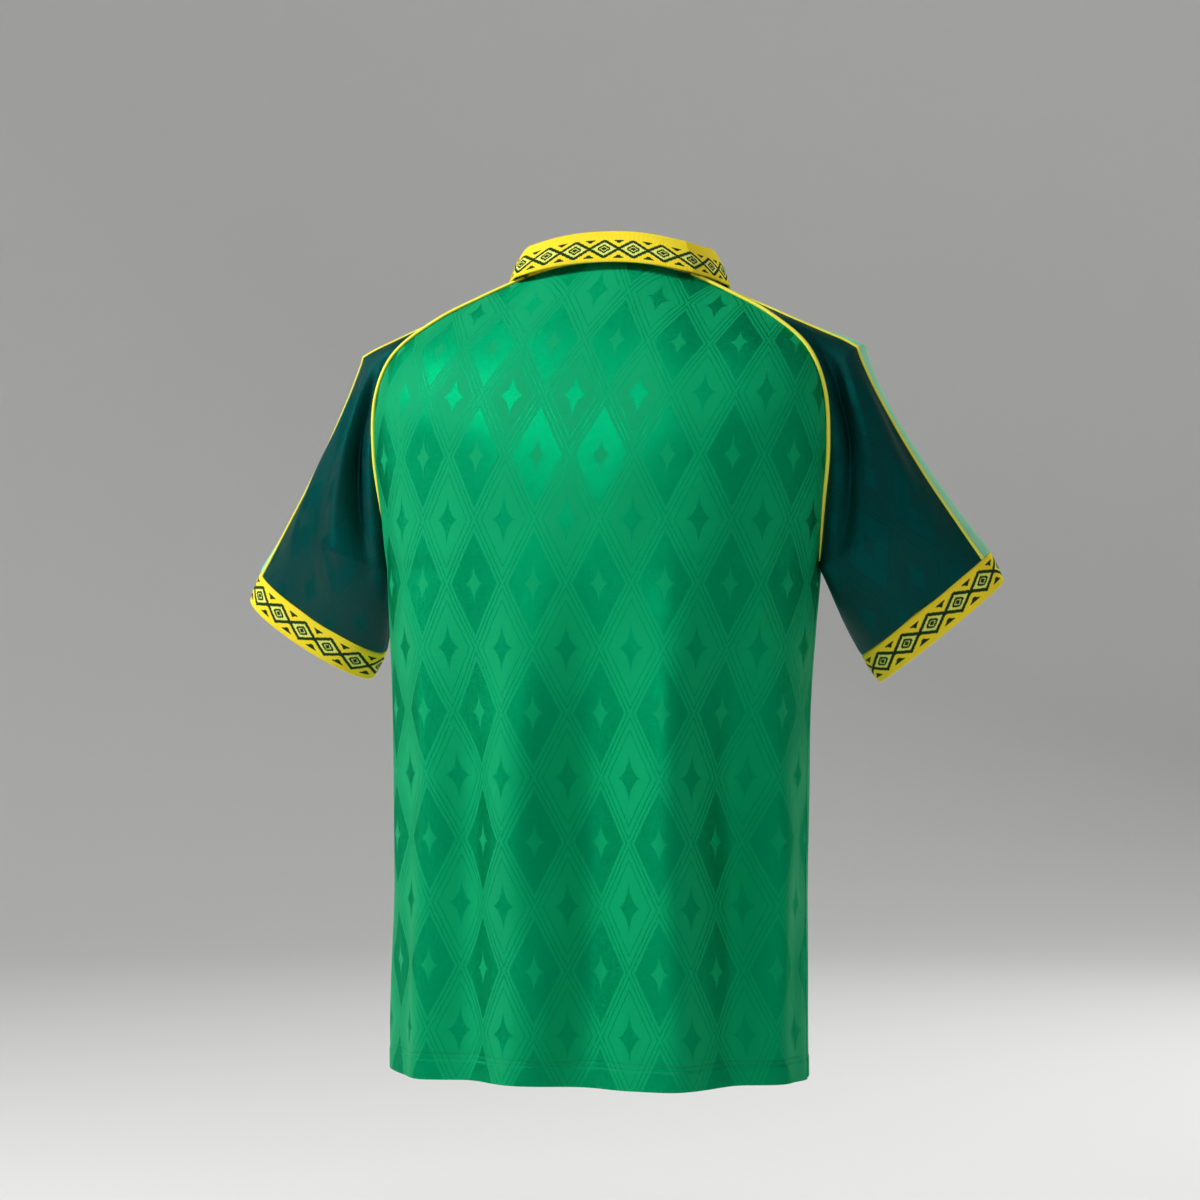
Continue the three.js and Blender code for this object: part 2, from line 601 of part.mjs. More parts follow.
// Neck seam from the front point round the +X side to the middle of the back, with each point's place on it.
function neckSeam(side) {
  const top = bodyAts.length - 1;
  const centre = bodyColumns / 2;
  const seam = [];
  const add = (grid, row, column, at) => seam.push({ p: grid.points[row][column], at });
  for (let j = 0; j <= centre; j++) add(front, top, centre + side * j, halfColumns[j]);
  const sleeve = sleeves[side > 0 ? 0 : 1];
  for (let j = sleeveColumns - 1; j > 0; j--) add(sleeve, sleeveAts.length - 1, j, 3 - 2 * sleevePlaces[j]);
  for (let j = centre; j >= 0; j--) add(back, top, centre + side * j, 4 - halfColumns[j]);
  return seam.filter((_, k) => k % 2 === 0);
}

// One section of the collar: stand up to the fold, round it, and down the leaf to its edge.
function collarSection({ p, at }, side) {
  const offset = (name) =>
    new THREE.Vector3(
      side * tableValue(collarRows, name + "X", at),
      tableValue(collarRows, name + "Y", at),
      tableValue(collarRows, name + "Z", at),
    );
  const upward = offset("fold");
  const rise = upward.length();
  upward.normalize();
  const foldTop = p.clone().addScaledVector(upward, rise);
  const leafEdge = p.clone().add(offset("edge"));
  const out = leafEdge.clone().sub(foldTop);
  out.addScaledVector(upward, -out.dot(upward)).normalize();
  const start = p.clone().addScaledVector(upward, collarGap).addScaledVector(out, -wall);
  const radius = Math.min(foldRadius, rise * foldRadiusShare);
  const centre = foldTop.clone().addScaledVector(out, radius - wall).addScaledVector(upward, -radius);
  const section = [];
  for (let k = 0; k < standSteps; k++) {
    const to = centre.clone().addScaledVector(out, -radius);
    section.push({ p: start.clone().lerp(to, k / standSteps), n: out.clone().negate() });
  }
  for (let k = 0; k <= foldSteps; k++) {
    const angle = foldTurn * (k / foldSteps);
    const spoke = out.clone().multiplyScalar(-Math.cos(angle)).addScaledVector(upward, Math.sin(angle));
    section.push({ p: centre.clone().addScaledVector(spoke, radius), n: spoke });
  }
  const leafStart = section[section.length - 1].p;
  const fall = leafEdge.clone().sub(leafStart).normalize();
  const face = out.clone().addScaledVector(fall, -out.dot(fall)).normalize();
  for (let k = 1; k <= leafSteps; k++) {
    const t = k / leafSteps;
    const q = leafStart.clone().lerp(leafEdge, t).addScaledVector(face, leafBelly * Math.sin(Math.PI * t));
    section.push({ p: q, n: face });
  }
  return section;
}

function collarSolid() {
  const half = (side) => neckSeam(side).map((place) => collarSection(place, side));
  const left = half(1);
  const right = half(-1);
  const sections = [...left, ...right.slice(0, -1).reverse()];
  const outer = sections.map((section) => section.map(({ p }) => p));
  const inner = sections.map((section) => section.map(({ p, n }) => p.clone().addScaledVector(n, -wall)));
  return layeredSolid(outer, inner, false);
}

// Finishes.
const cloth = (colour, roughness) => new THREE.MeshStandardMaterial({ color: colour, roughness, metalness: 0 });
const bodyCloth = cloth(0x0c9c62, 0.45);
const sleeveCloth = cloth(0x05403c, 0.5);
const ribKnit = cloth(0xe8cf2a, 0.8);
const pipingCord = cloth(0xe6e04a, 0.6);
const bandCloth = cloth(0x8fd6b4, 0.55);

const jersey = new THREE.Group();
function addPiece(name, geometry, material) {
  const mesh = new THREE.Mesh(geometry, material);
  mesh.name = name;
  jersey.add(mesh);
}

addPiece("front_panel", clothWall(front, wall), bodyCloth);
addPiece("back_panel", clothWall(back, wall), bodyCloth);
arms.forEach((arm, k) => {
  addPiece(`sleeve_${arm.name}`, clothWall(sleeves[k], wall), sleeveCloth);
  addPiece(`cuff_${arm.name}`, cuffSolid(arm, sleeves[k]), ribKnit);
  addPiece(`shoulder_band_${arm.name}`, bandSolid(sleeves[k]), bandCloth);
  addPiece(`band_piping_back_${arm.name}`, bandTrim(sleeves[k], 1), pipingCord);
  addPiece(`band_piping_front_${arm.name}`, bandTrim(sleeves[k], -1), pipingCord);
  addPiece(`raglan_piping_back_${arm.name}`, raglanTrim(back, sleeves[k], arm, 0), pipingCord);
  addPiece(`raglan_piping_front_${arm.name}`, raglanTrim(front, sleeves[k], arm, sleeveColumns), pipingCord);
});
addPiece("collar", collarSolid(), ribKnit);

export default jersey;
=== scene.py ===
import math
from functools import partial

import bpy
import numpy as np
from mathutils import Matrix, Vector


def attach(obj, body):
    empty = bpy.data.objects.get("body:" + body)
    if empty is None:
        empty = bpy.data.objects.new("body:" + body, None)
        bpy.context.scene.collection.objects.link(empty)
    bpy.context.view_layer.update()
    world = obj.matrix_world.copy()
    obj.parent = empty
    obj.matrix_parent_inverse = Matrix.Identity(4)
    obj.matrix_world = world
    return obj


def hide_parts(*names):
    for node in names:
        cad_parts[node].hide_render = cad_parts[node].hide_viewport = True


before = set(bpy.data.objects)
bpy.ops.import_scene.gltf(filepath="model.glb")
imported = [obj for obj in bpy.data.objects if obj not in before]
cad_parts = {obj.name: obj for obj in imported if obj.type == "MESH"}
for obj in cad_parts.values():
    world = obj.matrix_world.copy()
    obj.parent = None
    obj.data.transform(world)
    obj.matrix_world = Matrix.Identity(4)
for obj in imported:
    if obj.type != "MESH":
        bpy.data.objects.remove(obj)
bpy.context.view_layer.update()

# Camera: level, behind the jersey and a little to its right, as in the photograph
viewpoint = {"azimuth": 195, "distance": 3.0, "height": -0.292, "fieldOfView": 21.1, "clipEnd": 60}


def newObject(name, data):
    made = bpy.data.objects.new(name, data)
    bpy.context.collection.objects.link(made)
    return made


lens = bpy.data.cameras.new("viewCamera")
lens.sensor_fit = "HORIZONTAL"
lens.angle = math.radians(viewpoint["fieldOfView"])
lens.clip_end = viewpoint["clipEnd"]
turn, reach = math.radians(viewpoint["azimuth"]), viewpoint["distance"]
camera = newObject("viewCamera", lens)
camera.location = (math.sin(turn) * reach, -math.cos(turn) * reach, viewpoint["height"])
camera.rotation_euler = (math.pi / 2, 0, turn)
bpy.context.scene.camera = camera
print("camera placed")

# The garment's form in millimetres, from the same sizes as the part. "at" runs from the cuffs
# (0.75) or the hem up to the armpit (1), past the shoulder point and on to the neck (2).
shape = {
    "hemLevel": -729, "neckLean": -8, "leanPower": 10, "neckWiden": 27, "hemAt": -0.334,
    "cuffAt": 0.75, "shoulderAt": 1.43, "topRows": (1.9965, 1.9985), "rowSpan": 350,
    "outPower": 1.3, "underSag": 3, "shoulder": (241, -26, -58), "underSleeve": (234, -68, -343),
    "ringTilt": (0.11, 0.98, -0.15), "cuffDepth": 31,
}
arms = {
    "left": {"side": 1, "out": 117, "forward": 38, "down": 204},
    "right": {"side": -1, "out": 113, "forward": 43, "down": 189},
}
cuffFall = {"top": (13, -4, -28), "under": (15, -7, -24)}


def table(columns, rows):
    return dict(zip(columns.split(), np.array(rows, float).T))


def tables(columns, **groups):
    return {name: table(columns, rows) for name, rows in groups.items()}


sideSeam = table(
    "at x y z",
    [
        (-0.334, 198, 6, -729), (0.12, 196, 5, -570), (0.59, 198, 1, -405), (0.84, 202, -4, -318),
        (1, 206, -9, -262),
    ],
)
raglanSeams = tables(
    "at x y z",
    back=[
        (1, 206, -9, -262), (1.14, 212, 4, -205), (1.29, 217, 13, -152), (1.43, 214, 20, -101),
        (1.57, 197, 23, -61), (1.71, 160, 19, -31), (1.86, 118, 13, -9), (2, 76, 8, 10),
    ],
    front=[
        (1, 206, -9, -262), (1.14, 205, -46, -207), (1.29, 202, -70, -157), (1.43, 196, -83, -112),
        (1.57, 182, -90, -75), (1.71, 152, -91, -48), (1.86, 116, -89, -30), (2, 80, -84, -14),
    ],
)
bodyRows = tables(
    "at y z reach turnX turnY turnZ",
    back=[
        (-0.334, 119, -729, 120, 0, 68, 0), (0.12, 118, -570, 118, 0, 68, 0),
        (0.59, 119, -405, 119, 0, 71, 0), (1, 120, -264, 123, 0, 79, 0),
        (1.14, 119, -224, 118, -5, 65, -2), (1.29, 115, -182, 115, -10, 57, -4),
        (1.43, 107, -142, 112, -16, 53, -6), (1.57, 93, -102, 99, -32, 42, -8),
        (1.71, 72, -62, 80, -42, 29, -8), (1.86, 45, -20, 56, -37, 18, -1), (2, 18, 21, 34, -24, 11, 6),
    ],
    front=[
        (-0.334, -104, -729, 118, 0, -64, 0), (0.12, -110, -570, 116, 0, -66, 0),
        (0.59, -123, -405, 117, 0, -72, 0), (1, -135, -262, 120, 0, -72, 0),
        (1.14, -136, -238, 106, -18, -53, -2), (1.29, -136, -214, 96, -26, -42, -6),
        (1.43, -135, -190, 89, -34, -34, -12), (1.57, -133, -166, 82, -42, -27, -20),
        (1.71, -130, -142, 74, -42, -20, -26), (1.86, -125, -117, 50, -34, -13, -30),
        (2, -118, -92, 27, -27, -11, -27),
    ],
)
armFall = table(
    "at down",
    [(0.75, 1), (0.87, 0.86), (1, 0.7), (1.14, 0.5), (1.29, 0.25), (1.37, 0.1), (1.43, 0)],
)
shoulderLine = table(
    "at x y z",
    [
        (1.43, 241, -26, -58), (1.48, 229, -26, -52), (1.57, 207, -26, -44), (1.71, 172, -29, -31),
        (1.86, 132, -37, -14), (2, 92, -45, 2),
    ],
)
sleeveRings = table("at behind before", [(0.75, 36, 36), (0.87, 39, 42), (1, 43, 49)])
sleeveRows = tables(
    "at level turnX turnY turnZ",
    back=[
        (1, 57.3, 6.3, 56.2, -8.6), (1.14, 56, 21, 37, 4), (1.29, 47, 24, 16, 14), (1.43, 28, 9, 0, 24),
        (1.57, 22, 5, -9, 9), (1.71, 18, 4, -16, 4), (1.86, 17, 5, -17, 0), (2, 18, 11, -16, -4),
    ],
    front=[
        (1, 65.3, -7.2, -64, 9.8), (1.14, 58, 18, -35, 8), (1.29, 48, 24, -20, 16),
        (1.43, 34, 18, -6, 26), (1.57, 26, 11, 8, 16), (1.71, 20, 6, 14, 10), (1.86, 17, 5, 13, 7),
        (2, 14, 5, 11, 7),
    ],
)
folds = tables(
    "place drift width depth low high fade",
    back=[
        (0.47, 0.02, 0.085, 4, -1, 1.05, 0.9), (0.31, 0, 0.08, -4, -1, 1.05, 0.9),
        (0.125, 0.02, 0.1, 6, -1, 1.2, 0.9), (-0.06, 0, 0.085, -5, -1, 1.15, 0.9),
        (-0.28, -0.02, 0.1, 6, -1, 1.25, 0.9), (-0.52, -0.02, 0.1, -6, -1, 1.1, 0.9),
        (-0.72, -0.02, 0.08, 3, -1, 0.95, 0.9),
    ],
    front=[
        (0.55, 0.02, 0.09, 4, -1, 1, 0.9), (0.36, 0.02, 0.08, -4, -1, 1.1, 0.9),
        (0.15, 0, 0.09, 4, -1, 0.9, 0.9), (-0.05, 0, 0.09, -4, -1, 0.8, 0.9),
        (-0.26, -0.02, 0.09, 5, -1, 1.05, 0.9), (-0.46, -0.02, 0.08, -4, -1, 1.1, 0.9),
    ],
    left=[
        (0.25, 0.1, 0.055, 4, 0.8, 1.5, 0.3), (0.12, 0, 0.05, -6, 0.85, 1.55, 0.3),
        (0.82, 0, 0.06, -5, 0.85, 1.5, 0.3),
    ],
    right=[
        (0.14, 0, 0.055, -6, 0.85, 1.6, 0.3), (0.27, 0.1, 0.055, 4, 0.8, 1.5, 0.3),
        (0.82, 0, 0.06, -5, 0.85, 1.5, 0.3),
    ],
)
collarRows = table(
    "at foldX foldY foldZ edgeX edgeY edgeZ",
    [
        (0, 1.5, -7, 3, 30, -13, -34), (0.5, -7, -7, 13, 27, -22, -32), (1, -11, -3, 26, 13, -20, -13),
        (1.5, -9, 0, 31, 12, -9, 0), (2, -5, 2, 34, 13, 1, 1), (3, -3, -2, 29, 10, 12, -1),
        (4, 0, -3, 28, 0, 12, -1),
    ],
)


# Small sums that the surfaces share
def unit(vectors):
    return vectors / np.maximum(np.linalg.norm(vectors, axis=-1, keepdims=True), 1e-9)


def dot(a, b):
    return np.einsum("ij,ij->i", a, b)[:, None]


def ridge(distance, width):
    return np.exp(-((distance / width) ** 2))


def smoothStep(x, low, high):
    t = np.clip((x - low) / (high - low), 0, 1)
    return t * t * (3 - 2 * t)


def lengthAlong(points, axis=0):
    steps = np.linalg.norm(np.diff(points, axis=axis), axis=-1)
    return np.insert(np.cumsum(steps, axis=axis), 0, 0, axis=axis)


def interpolate(at, x, points):
    return np.stack([np.interp(at, x, points[:, c]) for c in range(3)], -1)


def spread(low, high, step, extra=()):
    count = max(2, int(round((high - low) / step)) + 1)
    return np.unique(np.round(np.concatenate([np.linspace(low, high, count), extra]), 6))


# A smooth curve through one column of a table
def read(rows, column, at):
    x, y = rows["at"], rows[column]
    slope = np.empty_like(y)
    slope[1:-1] = (y[2:] - y[:-2]) / (x[2:] - x[:-2])
    slope[0] = (y[1] - y[0]) / (x[1] - x[0])
    slope[-1] = (y[-1] - y[-2]) / (x[-1] - x[-2])
    at = np.clip(at, x[0], x[-1])
    k = np.clip(np.searchsorted(x, at, side="right") - 1, 0, len(x) - 2)
    span = x[k + 1] - x[k]
    t = (at - x[k]) / span
    value = (2 * t**3 - 3 * t**2 + 1) * y[k] + (3 * t**2 - 2 * t**3) * y[k + 1]
    return value + span * ((t**3 - 2 * t**2 + t) * slope[k] + (t**3 - t**2) * slope[k + 1])


handles = "turnX turnY turnZ"


def readPoint(rows, at, columns="x y z"):
    return np.stack([read(rows, c, at) for c in columns.split()], -1)


# Surfaces are grids of points, with a row for each at and a column for each place
def cubicRows(a, b, c, d, t):
    t = t[None, :, None]
    s = 1 - t
    a, b, c, d = (p[:, None, :] for p in (a, b, c, d))
    return a * s**3 + 3 * b * s * s * t + 3 * c * s * t * t + d * t**3


def lean(points):
    rise = np.maximum(0, 1 - points[..., 2] / shape["hemLevel"])
    points[..., 0] += shape["neckLean"] * rise ** shape["leanPower"]
    return points


def bodySurface(face, places, ats):
    rows = bodyRows[face]
    middle = np.stack([ats * 0, read(rows, "y", ats), read(rows, "z", ats)], -1)
    seam = np.where((ats < 1)[:, None], readPoint(sideSeam, ats), readPoint(raglanSeams[face], ats))
    level = middle + np.stack([read(rows, "reach", ats), ats * 0, ats * 0], -1)
    if face == "front":
        level[:, 2] += shape["neckWiden"] * smoothStep(ats, 1.5, 2) ** 2
    points = cubicRows(middle, level, seam + readPoint(rows, ats, handles), seam, np.abs(places))
    points[..., 0] *= np.where(places < 0, -1, 1)[None, :]
    return lean(points)


def sleeveTop(arm, ats):
    down = read(armFall, "down", ats)
    outward = arm["out"] * np.maximum(down, 0) ** shape["outPower"]
    hanging = np.stack([outward, -arm["forward"] * down, -arm["down"] * down], -1) + shape["shoulder"]
    return np.where((ats >= shape["shoulderAt"])[:, None], readPoint(shoulderLine, ats), hanging)


def sleeveUnder(ats):
    share = np.clip((ats - shape["cuffAt"]) / (1 - shape["cuffAt"]), 0, 1)[:, None]
    start = shape["underSleeve"] - np.array([shape["underSag"], 0, 0]) * np.sin(np.pi * share)
    return start * (1 - share) + readPoint(sideSeam, np.array([1.0])) * share


def sleeveHalf(arm, half, places, ats):
    sign = 1 if half == "back" else -1
    top = sleeveTop(arm, ats)
    tilt = np.array(shape["ringTilt"]) * sign
    reach = 4 / 3 * read(sleeveRings, "behind" if half == "back" else "before", ats)[:, None]
    ringEdge = sleeveUnder(ats)
    rows = sleeveRows[half]
    capEdge = readPoint(raglanSeams[half], ats)
    square = smoothStep(ats, 1, shape["shoulderAt"])[:, None]
    capTilt = tilt * (1 - square) + np.array([0, sign, 0]) * square
    below = (ats <= 1)[:, None]
    edge = np.where(below, ringEdge, capEdge)
    turn = np.where(below, ringEdge + tilt * reach, capEdge + readPoint(rows, ats, handles))
    level = np.where(below, top + tilt * reach, top + capTilt * read(rows, "level", ats)[:, None])
    return cubicRows(top, level, turn, edge, np.abs(places - 0.5) * 2)


def sleeveSurface(arm, places, ats):
    back = sleeveHalf(arm, "back", places, ats)
    front = sleeveHalf(arm, "front", places, ats)
    points = np.where((places < 0.5)[None, :, None], back, front)
    points[..., 0] *= arm["side"]
    return lean(points)


def gridNormals(points, facing, ring=False):
    across = np.roll(points, -1, 1) - np.roll(points, 1, 1) if ring else np.gradient(points, axis=1)
    return unit(np.cross(across, np.gradient(points, axis=0)) * facing)


# A running mean of the normals along the rows, so that folds don't pinch at the shoulder
def softened(normals, reach):
    total = normals.copy()
    for step in range(1, reach + 1):
        total[step:] += normals[:-step]
        total[:-step] += normals[step:]
    return unit(total)


def foldHeight(rows, places, ats):
    at = ats[:, None]
    height = np.zeros((len(ats), len(places)))
    for place, drift, width, depth, low, high, fade in zip(*rows.values()):
        above = smoothStep(high - at, 0, fade)
        below = smoothStep(at - low, 0, fade)
        height += depth * above * below * ridge(places[None, :] - (place + drift * (1 - at)), width)
    return height


def clothRelief(u, v, relief, name):
    noise = np.random.default_rng(relief["seeds"][name])
    total = np.zeros_like(u)
    for _ in range(relief["waves"]):
        wide = noise.uniform(*relief["across"])
        long = noise.uniform(*relief["along"]) * noise.choice([-1, 1])
        total += np.sin(2 * np.pi * (u / wide + v / long) + noise.uniform(0, 2 * np.pi))
    return total * relief["height"] / math.sqrt(relief["waves"])


def creaseHeight(creases, u, v):
    height = np.zeros_like(u)
    for x, y, angle, length, width, depth in creases:
        turn = math.radians(angle)
        along = (u - x) * math.cos(turn) + (v - y) * math.sin(turn)
        across = (v - y) * math.cos(turn) - (u - x) * math.sin(turn)
        across = across + 0.12 * width * np.sin(along / length * 4)  # a slight wave
        height += depth * np.exp(-((along / length) ** 2) * 2 - (across / width) ** 2)
    return height


# Distances on the cloth itself: u across from the middle column, v up from the first row
def clothMeasure(points, middle):
    u = lengthAlong(points, 1)
    return u - u[:, middle : middle + 1], lengthAlong(points)


# Meshes
def addObject(name, vertices, faces, uvs=None):
    mesh = bpy.data.meshes.new(name)
    mesh.from_pydata((np.asarray(vertices) / 1000).tolist(), [], faces)
    mesh.polygons.foreach_set("use_smooth", [True] * len(mesh.polygons))
    if uvs is not None:
        layer = mesh.uv_layers.new(name="clothMap")
        corners = np.empty(len(mesh.loops), int)
        mesh.loops.foreach_get("vertex_index", corners)
        layer.data.foreach_set("uv", (np.asarray(uvs)[corners] / 1000).ravel())
    mesh.validate()
    return newObject(name, mesh)


def quads(rows, columns, ring=False):
    i, j = np.meshgrid(np.arange(rows - 1), np.arange(columns if ring else columns - 1), indexing="ij")
    row, j = i.ravel() * columns, j.ravel()
    right = (j + 1) % columns
    return np.stack([row + j, row + right, row + columns + right, row + columns + j], 1)


def shellFaces(rows, columns, ring):
    outer = quads(rows, columns, ring)
    base = rows * columns
    near = np.arange(columns if ring else columns - 1)
    nearNext = (near + 1) % columns
    far, farNext = near + base - columns, nearNext + base - columns
    faces = [outer, outer[:, ::-1] + base]
    faces.append(np.stack([near, near + base, nearNext + base, nearNext], 1))
    faces.append(np.stack([far, farNext, farNext + base, far + base], 1))
    if not ring:
        first = np.arange(rows - 1) * columns
        last = first + columns - 1
        faces.append(np.stack([first, first + columns, first + columns + base, first + base], 1))
        faces.append(np.stack([last, last + base, last + columns + base, last + columns], 1))
    return np.concatenate(faces)


def signedVolume(vertices, faces):
    total = 0
    for a, b, c in ((0, 1, 2), (0, 2, 3)):
        normals = np.cross(vertices[faces[:, b]], vertices[faces[:, c]])
        total += np.einsum("ij,ij->i", vertices[faces[:, a]], normals).sum()
    return total


# A closed wall of cloth, made from its outer points
def clothPiece(name, points, normals, thickness, u, v, ring=False):
    inner = points - normals * np.asarray(thickness)[..., None]
    vertices = np.concatenate([points.reshape(-1, 3), inner.reshape(-1, 3)])
    faces = shellFaces(*points.shape[:2], ring)
    if signedVolume(vertices, faces) < 0:
        faces = faces[:, ::-1]
    uvs = np.tile(np.stack([u.ravel(), v.ravel()], -1), (2, 1))
    piece = addObject(name, vertices, faces.tolist(), uvs)
    return {"piece": piece, "points": points, "normals": normals, "u": u, "v": v}


def tube(name, path, normals, cord, lift):
    rows, sides = len(path), cord["sides"]
    along = unit(np.gradient(path, axis=0))
    across = unit(np.cross(along, normals))
    up = np.cross(across, along)
    angle = np.arange(sides) * 2 * np.pi / sides
    ends = np.ones((rows, 1, 1))
    ends[[0, -1]] = cord["endShare"]
    centre = path + up * np.reshape(lift, (-1, 1))
    vertices = (
        centre[:, None, :]
        + across[:, None, :] * (np.cos(angle)[None, :, None] * cord["halfWidth"] * ends)
        + up[:, None, :] * (np.sin(angle)[None, :, None] * cord["halfHeight"] * ends)
    ).reshape(-1, 3)
    faces = quads(rows, sides, ring=True)
    first, last = list(range(sides)), list(range((rows - 1) * sides, rows * sides))
    if signedVolume(vertices, faces) < 0:
        faces = faces[:, ::-1]
        caps = [first, last[::-1]]
    else:
        caps = [first[::-1], last]
    uvs = np.stack([np.repeat(lengthAlong(path), sides), np.tile(angle * cord["halfWidth"], rows)], -1)
    return addObject(name, vertices, faces.tolist() + caps, uvs)


# Values of every panel. The solids hold the folds' places and the cloth here their full depth.
panelCloth = {
    "thickness": 0.9, "foldGain": 2.4, "topMargin": 15, "seamDip": 0.8, "seamWidth": 1.6,
    "topDip": 0.6, "topWidth": 1.5,
}


def panelRows(low, step, lowRows, topRows):
    step = step / shape["rowSpan"]
    return np.unique(np.concatenate([spread(low, 1, step, lowRows), spread(1, 2, step, topRows)]))


def folded(name, base, normals, free, places, ats):
    height = free[None, :] * panelCloth["foldGain"] * foldHeight(folds[name], places, ats)
    return base + normals * height[..., None]


def dipped(height, edgeGap, topGap):
    height = height - panelCloth["seamDip"] * ridge(edgeGap, panelCloth["seamWidth"])
    return height - panelCloth["topDip"] * ridge(topGap, panelCloth["topWidth"])


# Body panels
bodyCloth = {
    "columnStep": 0.0135, "edgeColumns": (0.985, 0.991, 0.9945, 0.997, 0.9988), "rowStep": 4.5,
    "foldMargin": 0.12, "sideMargin": 25, "creaseMargin": 18, "slack": (0.6, 1.6),
    "slackFrom": (120, 420),
}
hem = {
    "depth": 18, "step": 0.5, "extraThickness": 0.6, "seamRows": (18, 23), "seamDip": 0.35,
    "seamWidth": 0.9, "waveHeight": 1.3, "waveLength": 41, "waveReach": 70,
    "rows": (0.4, 0.9, 1.6, 3, 15.6, 16.6, 17.4, 18, 18.6, 19.6, 21, 22.2, 23, 23.8, 25),
}
bodyRelief = {"waves": 12, "across": (55, 150), "along": (180, 520), "height": 0.55}
bodyRelief["seeds"] = {"back": 4, "front": 9}
# Creases: place across and up from the hem, angle, length, width and depth, all on the cloth itself
bodyCreases = {
    "back": [
        (180, 430, 62, 70, 9, 1.6), (196, 470, 75, 60, 7, -1.4), (-182, 425, 118, 75, 9, 1.8),
        (-200, 468, 104, 60, 7, -1.5), (150, 300, 84, 110, 12, 1.2), (-150, 250, 93, 130, 13, -1.4),
        (-95, 180, 88, 120, 10, 1.2), (60, 130, 91, 120, 10, -1.2), (205, 120, 90, 120, 9, 1.4),
        (-215, 160, 90, 140, 9, 1.4), (20, 60, 88, 60, 8, 1.0), (-24, 230, 90, 290, 24, -3.5),
        (-98, 230, 91, 280, 24, 3.2), (46, 260, 89, 250, 24, 2.4), (-172, 220, 90, 280, 26, -3.0),
    ],
    "front": [
        (185, 430, 62, 70, 9, 1.8), (200, 470, 76, 60, 7, -1.4), (-185, 430, 118, 70, 9, 1.8),
        (-200, 470, 104, 60, 7, -1.4), (120, 250, 86, 120, 12, 1.3), (-110, 220, 94, 120, 12, -1.3),
        (30, 140, 90, 110, 10, 1.1), (-60, 90, 90, 80, 9, 1.0),
    ],
}


def bodyPanel(face):
    facing = -1 if face == "back" else 1
    edges = np.array(bodyCloth["edgeColumns"])
    places = spread(-1, 1, bodyCloth["columnStep"], np.concatenate([[0], edges, -edges]))
    perMillimetre = np.diff(sideSeam["at"])[0] / np.diff(sideSeam["z"])[0]
    hemRows = shape["hemAt"] + np.array(hem["rows"]) * perMillimetre
    ats = panelRows(shape["hemAt"], bodyCloth["rowStep"], hemRows, shape["topRows"])
    base = bodySurface(face, places, ats)
    normals = gridNormals(base, facing)
    free = smoothStep(1 - np.abs(places), 0, bodyCloth["foldMargin"])
    points = folded(face, base, normals, free, places, ats)
    u, v = clothMeasure(points, int(np.argmin(np.abs(places))))
    edgeGap = np.abs(u[:, -1:]) - np.abs(u)
    topGap = v[-1:, :] - v
    soft = smoothStep(edgeGap, 0, bodyCloth["sideMargin"]) * smoothStep(topGap, 0, panelCloth["topMargin"])
    least, more = bodyCloth["slack"]
    slack = least + more * (1 - smoothStep(v, *bodyCloth["slackFrom"]))
    height = soft * slack * clothRelief(u, v, bodyRelief, face)
    height += smoothStep(edgeGap, 0, bodyCloth["creaseMargin"]) * creaseHeight(bodyCreases[face], u, v)
    turnedUp = 1 - smoothStep(v, hem["depth"] - 0.4, hem["depth"] + 1.2)
    height += hem["step"] * turnedUp
    for line in hem["seamRows"]:
        height -= hem["seamDip"] * ridge(v - line, hem["seamWidth"])
    outer = points + normals * dipped(height, edgeGap, topGap)[..., None]
    wave = np.sin(u / hem["waveLength"] + (0 if face == "back" else 2))
    outer[..., 2] += (1 - smoothStep(v, 0, hem["waveReach"])) * hem["waveHeight"] * wave
    normals = gridNormals(outer, facing)
    thickness = panelCloth["thickness"] + hem["extraThickness"] * turnedUp
    return clothPiece(f"{face}PanelCloth", outer, normals, thickness, u, v)


panels = {face: bodyPanel(face) for face in ("back", "front")}
print("body panels:", {k: len(p["piece"].data.polygons) for k, p in panels.items()})

# Sleeves
sleeveCloth = {
    "columnStep": 0.0095, "edgeColumns": (0.0015, 0.004, 0.007, 0.011, 0.016), "rowStep": 4,
    "cuffRows": (0.0015, 0.004, 0.008), "softRows": 8, "foldMargin": 0.06, "sideMargin": 20,
    "creaseMargin": 14, "bandMargin": (22, 40), "underBand": 0.35, "cuffDip": 0.5, "cuffWidth": 1.4,
}
sleeveRelief = {"waves": 10, "across": (40, 110), "along": (90, 260), "height": 0.85}
sleeveRelief["seeds"] = {"left": 21, "right": 33}
sleeveCreases = {
    "left": [
        (-66, 150, 82, 150, 20, -9.0), (-38, 120, 84, 110, 12, 4.0), (-78, 60, 60, 45, 7, -1.4),
        (-100, 110, 74, 55, 8, 1.6), (70, 110, 100, 70, 9, -1.6), (48, 70, 95, 55, 8, 1.4),
        (-24, 180, 86, 45, 8, -1.0),
    ],
    "right": [
        (-78, 150, 84, 150, 22, -10.0), (-44, 120, 84, 110, 13, 4.5), (-82, 70, 66, 50, 7, 1.6),
        (-104, 115, 72, 55, 8, -1.6), (66, 110, 100, 70, 9, -1.6), (45, 70, 95, 55, 8, 1.4),
    ],
}


